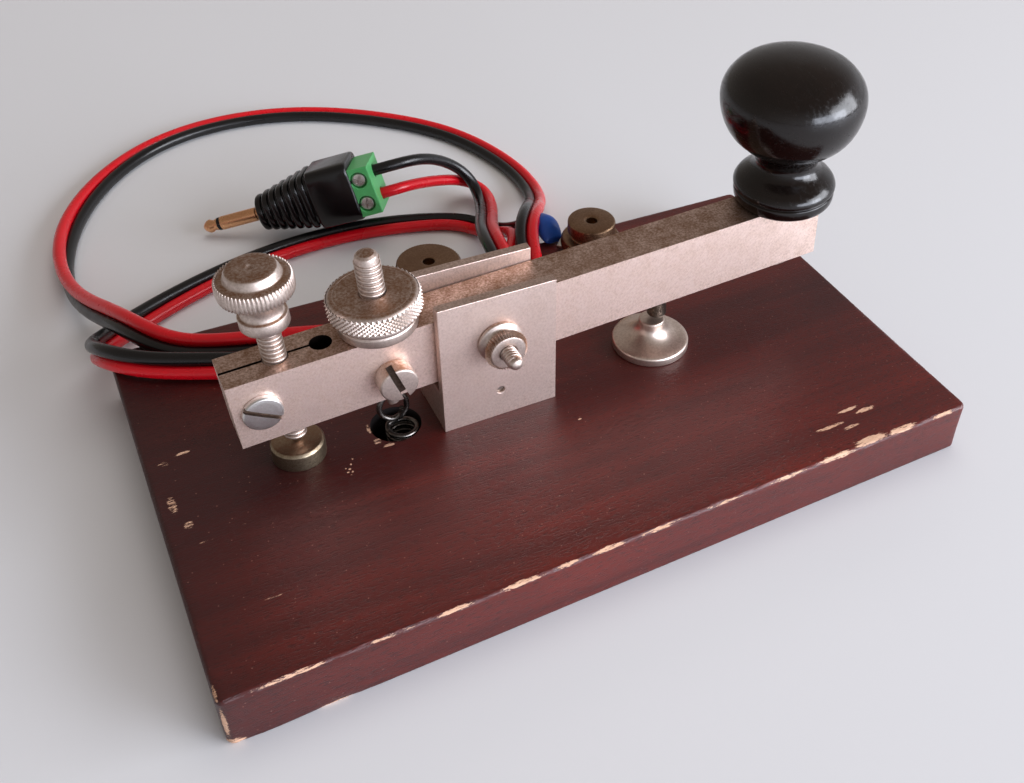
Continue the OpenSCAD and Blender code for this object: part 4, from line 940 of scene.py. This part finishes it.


# The saw cut, the slit and the bore at its end are painted near black, as painted shade inside them
slit_painted_shade = plated("painted_shade_in_slit", "#2b2320", "#15110f", 0.5)
# The screw slots are painted dark, as painted shade down in the slots
screw_slot_painted_shade = plated("screw_slot_painted_shade", "#7a6a5f", "#453a33", 0.45)
brushed_nickel = plated(
    "filed_nickel_plate", "#ffe7dc", "#c6ab9c", 0.43, (0.12, 1, 1), painted_top_reflection=0.95, depth=0.000025,
)
lever = box(
    (-lever_rear, -lever_half, -lever_deep), (lever_front, lever_half, lever_deep), lever_place,
    brushed_nickel, "lever_bar",
)
through_z = lever_deep + 1
# Saw cut and slit, then the bores of the slit's end, the gap screw, the rod, the pivot
# screws, the key screw and the clamp screw
cut(
    lever,
    box((-lever_rear - 1, -0.3, -through_z), (-gap_s + 1, 0.3, through_z), lever_place, slit_painted_shade),
    box((-gap_s - 1, -0.1, -through_z), (-slit_hole_s, 0.45, through_z), lever_place, slit_painted_shade),
    bore(2.05, -9, 9, on_lever(-slit_hole_s), 48, slit_painted_shade),
    bore(2.33, -9, 9, on_lever(-gap_s)),
    bore(2.56, -9, 9, on_lever(-rod_s)),
    bore(1.06, -9, 9, at(*pivot) @ across, 32),
    bore(1.52, 0, 9, on_lever(-rod_s, key_t) @ across, 32),
    bore(1.42, -9, 9, on_lever(-clamp_s) @ across, 32),
    bevel=0.1,
)
stand_for(lever, "lever", "satin_nickel", "lever")

# Contact pin and knob screw. Both are turned in steel and set into the lever from below:
# the pin is blued and domed where it strikes the bell, and the screw is slotted.
pin_steel = plated("blued_contact_steel", "#8c8379", "#4c443d", 0.26, turned=True)
pin = turned(
    "contact_stub",
    [(0, -13.549), (0.8, -13.53), (1.45, -13.45), (1.85, -13.3), (2.1, -13), (2.1, -9.2),
     (2.3, -8.6), (2.3, -7.2), (1.4, -7.2), (1.4, -1.5), (0, -1.5)],
    pin_steel, on_lever(contact_s), 0.1, 48,
)
stand_for(pin, "lever", "bright_steel", "contact_pin")
knob_bolt = turned(
    "knob_bolt",
    [(0, -10.6), (0.9, -10.5), (1.8, -10.1), (2.45, -9.3), (2.7, -8.4), (2.7, -7.2), (1.9, -7.2),
     (1.9, 18), (0, 18)],
    turned_nickel, on_lever(knob_s), 0.1, 48,
)
cut(knob_bolt, box((-0.4, -4, -12), (0.4, 4, -9.4), on_lever(knob_s)))
stand_for(knob_bolt, "lever", "bright_steel", "knob_screw")

# Clamp screw and key screw: a flat cheese head of bright steel, and a deep nickelled head
# with a wide sawn slot, whose point rides in a flat of the tension rod.
clamp_steel = plated(
    "bright_zinc_steel", "#e2e0de", "#b0aca7", 0.34, turned=True, mottling=0.5, depth=0.00001,
)
clamp_place = on_lever(-clamp_s) @ across
clamp = turned(
    "clamp_bolt",
    [(0, -4.1), (1.4, -4.1), (1.4, 4.5), (3.45, 4.5), (3.6, 4.6), (3.6, 5.35), (3.35, 5.65),
     (2.4, 5.72), (0, 5.75)],
    clamp_steel, clamp_place, 0.08, 64,
)
cut(clamp, box((-5, -0.42, 4.9), (5, 0.42, 7), clamp_place @ turn(-34, "Z"), screw_slot_painted_shade))
stand_for(clamp, "lever", "bright_steel", "clamp_screw")
key_place = on_lever(-rod_s, key_t) @ across
key_screw = turned(
    "key_bolt",
    [(0, 1.66), (1.5, 1.66), (1.5, 4.5), (3.5, 4.5), (3.65, 4.65), (3.65, 7.8), (3.4, 8.05),
     (1.8, 8.1), (0, 8.1)],
    turned_nickel, key_place, 0.1, 64,
)
cut(key_screw, box((-0.62, -5, 5.8), (0.62, 5, 10), key_place @ turn(16, "Z"), screw_slot_painted_shade))
stand_for(key_screw, "lever", "satin_nickel", "key_screw")

# Gap screw. Turned in one piece and nickelled: a rounded thread, a collar, a waist and a
# bulging ring of straight knurling under a stepped cap.
cap = 27.2
gap_place = on_lever(-gap_s)
gap_outline = [
    (0, -13.231), (0.6, -13.08), (1.05, -12.65), (1.3, -12.1), (1.95, -11.5), (1.95, 14.9),
    (3.9, 14.9), (4.2, 15.1), (4.3, 15.3), (4.3, 17.3), (4.2, 17.5), (3.75, 17.6), (3.55, 17.9),
    (3.5, 18.6), (3.6, 19.3), (3.85, 20), (4.3, 20.7), (4.95, 21.35), (5.6, 21.75), (6.1, 22.15),
    (6.42, 22.8), (6.52, 23.6), (6.42, 24.4), (6.1, 25.0), (5.6, 25.3), (5.0, 25.35), (4.75, 25.6),
    (4.6, 26.3), (4.25, 26.9), (3.7, 27.15), (3.0, cap), (0.8, cap), (0.5, 26.95), (0, 26.7),
]
gap_screw = turned("gap_adjuster", gap_outline, turned_nickel, gap_place)
with_tree(
    gap_screw, thread, gap_place, turned_nickel, Radius=1.85, Bottom=-11.6, Length=26.7, Pitch=0.95,
    Ridge=0.34,
)
ridges, given = open_tree(
    "rounded_ridges", ("Count",), ("Radius", "Height", "Ridge Long", "Ridge Wide"),
)
beads = add(
    ridges, "GeometryNodeInstanceOnPoints",
    Points=add(ridges, "GeometryNodeMeshCircle", Vertices=given["Count"], Radius=given["Radius"]),
    Instance=add(ridges, "GeometryNodeMeshUVSphere", Segments=8, Rings=9, Radius=1),
    Scale=add(
        ridges, "CombineXYZ", given["Ridge Wide"], given["Ridge Wide"], given["Ridge Long"],
    ),
)
raised = add(ridges, "CombineXYZ", Z=given["Height"])
lifted = add(ridges, "GeometryNodeTransform", beads, Translation=raised)
solid = add(ridges, "GeometryNodeRealizeInstances", lifted)
close_tree(ridges, given, add(ridges, "GeometryNodeSetShadeSmooth", solid))
with_tree(
    gap_screw, ridges, gap_place, turned_nickel, Count=58, Radius=6.2, Height=23.6, Ridge_Long=1.75,
    Ridge_Wide=0.4,
)
stand_for(gap_screw, "gap_screw", "satin_nickel", "gap_screw")

# Tension rod and its nut. The threaded rod hangs the spring and stands in the nut, a
# thick disc with diamond knurling over a plain collar, which lifts it when turned.
eye_z = 20.2
rod_place = on_lever(-rod_s)
eye_t = (eye_z - pivot[2] + rod_s * math.sin(tilt)) / math.cos(tilt)
rod_outline = [
    (0, eye_t - 2.2), (1.05, eye_t - 2.2), (1.45, eye_t - 1.8), (1.45, -6.8), (2.15, -6.2),
    (2.15, 22.3), (2.0, 22.9), (1.5, 23.35), (0.9, 23.55), (0, 23.6),
]
rod = turned("tension_rod_screw", rod_outline, turned_nickel, rod_place, sides=64)
eye_x = (rod_place @ Vector((0, 0, eye_t * MM))).x / MM
cut(
    rod,
    bore(1.0, -4, 4, at(eye_x, lever_y, eye_z) @ turn(90, "Y"), 32),
    *(box((low, -3, eye_t - 3), (low + 1, 3, eye_t + 2.2), rod_place) for low in (-2, 1)),
)
with_tree(
    rod, thread, rod_place, turned_nickel, Radius=2.05, Bottom=2.0, Length=20.1, Pitch=1.0,
    Ridge=0.36,
)
stand_for(rod, "tension_rod", "satin_nickel", "tension_rod")
nut_outline = [
    (2.56, 0.3), (2.8, 0), (6.9, 0), (7.3, 0.2), (7.4, 0.6), (7.4, 1.9), (7.25, 2.15),
    (7.25, 2.35), (7.4, 2.55), (7.4, 3.1), (7.1, 3.4), (7.1, 3.65), (7.9, 3.75), (8.25, 4.1),
    (8.25, 6.95), (7.85, 7.45), (7.45, 7.62), (7.1, 7.62), (7.0, 7.5), (6.85, 7.62), (3.2, 7.75),
    (2.8, 7.7), (2.45, 7.5),
]
nut_place = on_lever(-rod_s, lever_deep + 0.05)
nut = turned("tension_thumb_nut", nut_outline, turned_nickel, nut_place)
with_tree(
    nut, knurl, nut_place, turned_nickel, Count=56, Rows=7, Radius=8.3, Bottom=4.2, Rise=0.43,
    Tooth_Height=0.5, Tooth_Width=0.52, Tooth_Depth=0.4, Sides=4,
)
stand_for(nut, "tension_nut", "satin_nickel", "tension_nut")

# Return spring. Black spring wire, coiled cold: a small loop round a steel pin under the
# wood, a coil in the bored hole, and a hook through the rod's eye. The hook rides on the
# rod, and its straight stem slides along the coil's own, so neither parts as it is set.
spring_wire = 0.54
coil_at = (-30.94, -0.3)
coil_radius = 2.85
coil_low = 5.0
coil_top = 12.2
coil_turns = 5
loop_radius = 2.7
loop_tall = 2.95
loop_z = 17.15
stem_at = (-31.94 + loop_radius, 0.85)
black_wire_steel = plated("black_oiled_spring_wire", "#77726e", "#3b3735", 0.24, depth=0.000004)
anchor_loop = [
    (coil_at[0] + 1.6 * math.cos(a), coil_at[1], 1.9 + 1.6 * math.sin(a))
    for a in np.radians(np.arange(60, 361, 25))
]
coil = []
for share in np.linspace(0, 1, 24 * coil_turns + 1):
    a = math.pi + 2 * math.pi * coil_turns * (1 - share)
    coil.append((
        coil_at[0] + coil_radius * math.cos(a), coil_at[1] + coil_radius * math.sin(a),
        coil_low + (coil_top - coil_low) * share,
    ))
lower_path = through([
    *anchor_loop, (coil_at[0] + 1.5, coil_at[1] + 0.6, 3.5),
    (coil_at[0] - 0.6, coil_at[1] + 1.5, 4.3), *coil, (-33.25, 0.8, 12.6), (-31.9, 0.8, 13.15),
    (-30.4, 0.6, 14.1), (-29.5, 0.75, 15.1), (*stem_at, 16.1), (*stem_at, 17), (*stem_at, 18),
], 4)
# Angles round the hook, with how far it reaches from its middle there
hook_turn = [
    (0, 1), (30, 1), (60, 1), (90, 1), (120, 1), (150, 1.02), (180, 1.06), (210, 1.06),
    (240, 1.03), (265, 0.98), (290, 0.86), (318, 0.68), (345, 0.52),
]
hook_path = through([
    (*stem_at, 15.9), (*stem_at, 16.6),
    *((-31.94 + reach * loop_radius * math.cos(math.radians(a)), 0.85 - 0.005 * max(0, a - 120),
       loop_z + reach * loop_tall * math.sin(math.radians(a))) for a, reach in hook_turn),
], 4)
coil_piece = new_piece("spring_coil", *swept(lower_path, spring_wire, 14), black_wire_steel)
hook_piece = new_piece("spring_hook", *swept(hook_path, spring_wire + 0.008, 14), black_wire_steel)
stand_for(coil_piece, "key_base", "spring_wire", "return_spring")
stand_for(hook_piece, "tension_rod", "spring_wire", "return_spring")
dress(plain_steel, "spring_anchor")

# Knob. Turned or moulded in black bakelite and polished, with a threaded brass bush in
# its foot. Years of hands left it glossy brown-black, with small pits and scuffs.
knob_place = on_lever(knob_s, lever_deep)
knob_side = [
    (3.25, 0), (9.7, 0), (10.2, 0.25), (10.6, 0.9), (10.75, 1.8), (10.7, 2.55), (10.42, 2.8),
    (10.42, 3.0), (10.8, 3.3), (10.92, 3.9), (10.7, 4.6), (10.15, 5.4), (9.35, 6.1), (8.45, 6.8),
    (7.6, 7.5), (7.0, 8.3), (6.7, 9.1), (6.75, 10), (7.2, 11), (8.1, 12.1), (9.4, 13.2),
    (10.8, 14.4), (12.1, 15.7), (13.1, 17.1), (13.85, 18.6), (14.4, 20.2), (14.75, 21.8),
    (14.9, 23.2), (14.85, 24.5), (14.5, 26), (13.8, 27.4), (12.7, 28.8), (11.2, 30.1), (9.3, 31.1),
    (6.9, 31.9), (4.2, 32.4), (2, 32.6), (0, 32.65),
]


def polished_bakelite():
    """Polished phenolic: brown-black, glossy, with shallow pits, scuffs and faint hand marks."""
    material, tree, shader, spot = new_material("polished_black_bakelite")
    marks = add(tree, "TexNoise", spot, 240, 6, 0.65)
    pit = add(tree, "MapRange", add(tree, "TexVoronoi", spot, 520), 0.1, 0.2)
    waves = add(tree, "TexNoise", spot, 330, 3, 0.5)
    relief = add(tree, "Math", pit, 0.25, waves, operation="MULTIPLY_ADD")
    rubbed = add(tree, "Mapping", spot, Scale=(1, 0.25, 1), Rotation=(0.4, 0.2, 0.7))
    scuff = add(tree, "TexNoise", rubbed, 1500, 3)
    feed(
        shader,
        Base_Color=add(tree, "Mix", marks, "#040303", "#150b08", data_type="RGBA"),
        Roughness=add(tree, "MapRange", scuff, 0.45, 0.75, 0.15, 0.34),
        Normal=add(tree, "Bump", Strength=0.22, Distance=0.00005, Height=relief),
        IOR=1.5,
    )
    return material


smooth_side = [tuple(p[:2]) for p in through([(*p, 0) for p in knob_side[2:]], 3)]
knob = turned(
    "key_knob", [(0, 13.2), (3.25, 13.2), (3.25, 0), (9.7, 0), *smooth_side], polished_bakelite(),
    knob_place, 0.05, 128,
)
stand_for(knob, "lever", "black_bakelite", "knob")
dress(bare_brass, "knob_bush")

# Plug. A coppery plated 3.5 mm jack pin in a glossy black moulded body with grip ribs, and
# a green terminal block behind it, whose two screws clamp the wires.
body_end = -block_length / 2
body_long = 26
pin_end = body_end - body_long
pin_long = 14
pin_radius = 1.75
tip_long = 3.78
ring_long = 0.8


def along_plug(x):
    """Place on the plug's axis, with Z towards the tip."""
    return plug_place @ at(x, 0, 0) @ turn(-90, "Y")


pin_plate = plated(
    "coppery_plated_pin", "#f4bd8f", "#c78a60", 0.26, turned=True, mottling=0.5, depth=0.000005,
)
tip = turned(
    "jack_tip",
    [(0, 0), (1.5, 0), (1.5, 0.35), (1.3, 0.8), (1.35, 1.2), (1.68, 1.8), (1.7, 2.2), (1.45, 2.8),
     (0.95, 3.4), (0.5, 3.7), (0, 3.78)],
    pin_plate, along_plug(pin_end - pin_long + tip_long), 0.1, 64,
)
stand_for(tip, "key_base", "plug_contact", "plug_tip")


def glossy_moulding(name, colour, shade, rough):
    """Injection moulded plastic: even colour, a glossy skin and a very fine orange peel."""
    material, tree, shader, spot = new_material(name)
    peel = add(tree, "TexNoise", spot, 1100, 3)
    cast = add(tree, "TexNoise", spot, 160, 2)
    feed(
        shader,
        Base_Color=add(tree, "Mix", cast, colour, shade, data_type="RGBA"),
        Roughness=add(tree, "MapRange", cast, To_Min=rough - 0.08, To_Max=rough + 0.1),
        Normal=add(tree, "Bump", Strength=0.2, Distance=0.00004, Height=peel),
    )
    return material


black_moulding = glossy_moulding("glossy_black_moulding", "#050506", "#0a0a0c", 0.2)
green_moulding = glossy_moulding("green_nylon_moulding", "#46a55c", "#5cb56f", 0.42)
insulator = turned(
    "jack_ring",
    [(0, 0), (1.55, 0), (1.66, 0.1), (1.66, ring_long - 0.1), (1.55, ring_long), (0, ring_long)],
    black_moulding, along_plug(pin_end - pin_long + tip_long + ring_long), 0.08, 64,
)
stand_for(insulator, "key_base", "plug_black", "plug_insulator")
sleeve_long = pin_long - tip_long - ring_long
barrel = turned(
    "jack_barrel",
    [(0, -6), (1.2, -6), (1.2, 0), (pin_radius, 0), (pin_radius, sleeve_long - 0.2),
     (1.6, sleeve_long), (0, sleeve_long)],
    pin_plate, along_plug(pin_end), 0.08, 64,
)
stand_for(barrel, "key_base", "plug_contact", "plug_sleeve")

# The body is lofted through squarish outlines: x, depth, width, how square, and its middle
face_at = pin_end + 1.4
rib_step = 2.12
ribs = 7
box_from = face_at + rib_step * ribs
box_to = body_end + 1.1
stations = [(face_at, 5, 5, 2.1, 0), (face_at, 7.4, 7.4, 2.1, 0)]
for i in range(ribs):
    share = i / (ribs - 1)
    deep = 9.2 + 4.6 * share
    wide = 9.2 + 4.9 * share
    square = 2.3 + 3.2 * share
    x = face_at + rib_step * i
    # From groove to groove: place on the rib, and how much thinner it is there
    stations += [
        (x + on, deep - less, wide - less, square, share) for on, less in (
            (0, 0.9), (0.16, 0.35), (0.45, 0), (1.1, 0), (1.4, 0.4), (1.5, 1.4), (2.05, 1.4),
        )
    ]
stations += [
    (box_from, 13.2, 13.6, 5.5, 1), (box_from + 0.25, 14, 14.7, 6, 1),
    (box_from + 0.7, 14.4, 15.2, 7, 1), (box_to - 0.7, 14.4, 15.2, 8, 1),
    (box_to - 0.2, 14.1, 14.9, 8, 1), (box_to, 13.6, 14.4, 8, 1),
]
around = 72
body_points = []
for x, deep, wide, square, share in stations:
    for k in range(around):
        c, s = math.cos(2 * math.pi * k / around), math.sin(2 * math.pi * k / around)
        body_points.append((
            x, math.copysign(abs(c) ** (2 / square), c) * wide / 2 + 0.6 * share,
            math.copysign(abs(s) ** (2 / square), s) * deep / 2,
        ))
plug_body = new_piece(
    "plug_moulding", body_points, skin(len(stations), around), black_moulding, plug_place, 40,
)
stand_for(plug_body, "key_base", "plug_black", "plug_body")
clamp_block = box(
    (body_end - 0.1, -6.2, -6.6), (block_length / 2, 6.2, 6.6), plug_place, green_moulding,
    "plug_terminal_block",
)
clamps = [plug_place @ at(0, side * clamp_pitch / 2, 0) for side in (-1, 1)]
cut(
    clamp_block,
    *(bore(1.65, 0.6, 4, place @ turn(90, "Y"), 32) for place in clamps),
    *(bore(2.05, 5.2, 8, place, 40) for place in clamps),
    bevel=0.22,
)
stand_for(clamp_block, "key_base", "green_block", "plug_block")
heads = []
for clamp, angle in zip(clamps, (-15, 55)):
    place = clamp @ at(0, 0, 5)
    head = turned(
        "head", [(0, 0), (1.8, 0), (1.8, 0.75), (1.5, 1.05), (0.7, 1.15), (0, 1.15)], clamp_steel,
        place, 0.08, 40,
    )
    crossed = place @ turn(angle, "Z")
    cut(
        head, box((-1.3, -0.24, 0.5), (1.3, 0.24, 2), crossed),
        box((-0.24, -1.3, 0.5), (0.24, 1.3, 2), crossed),
    )
    heads.append(head)
block_screws = join("plug_clamp_heads", *heads)
stand_for(block_screws, "key_base", "bright_steel", "block_screws")
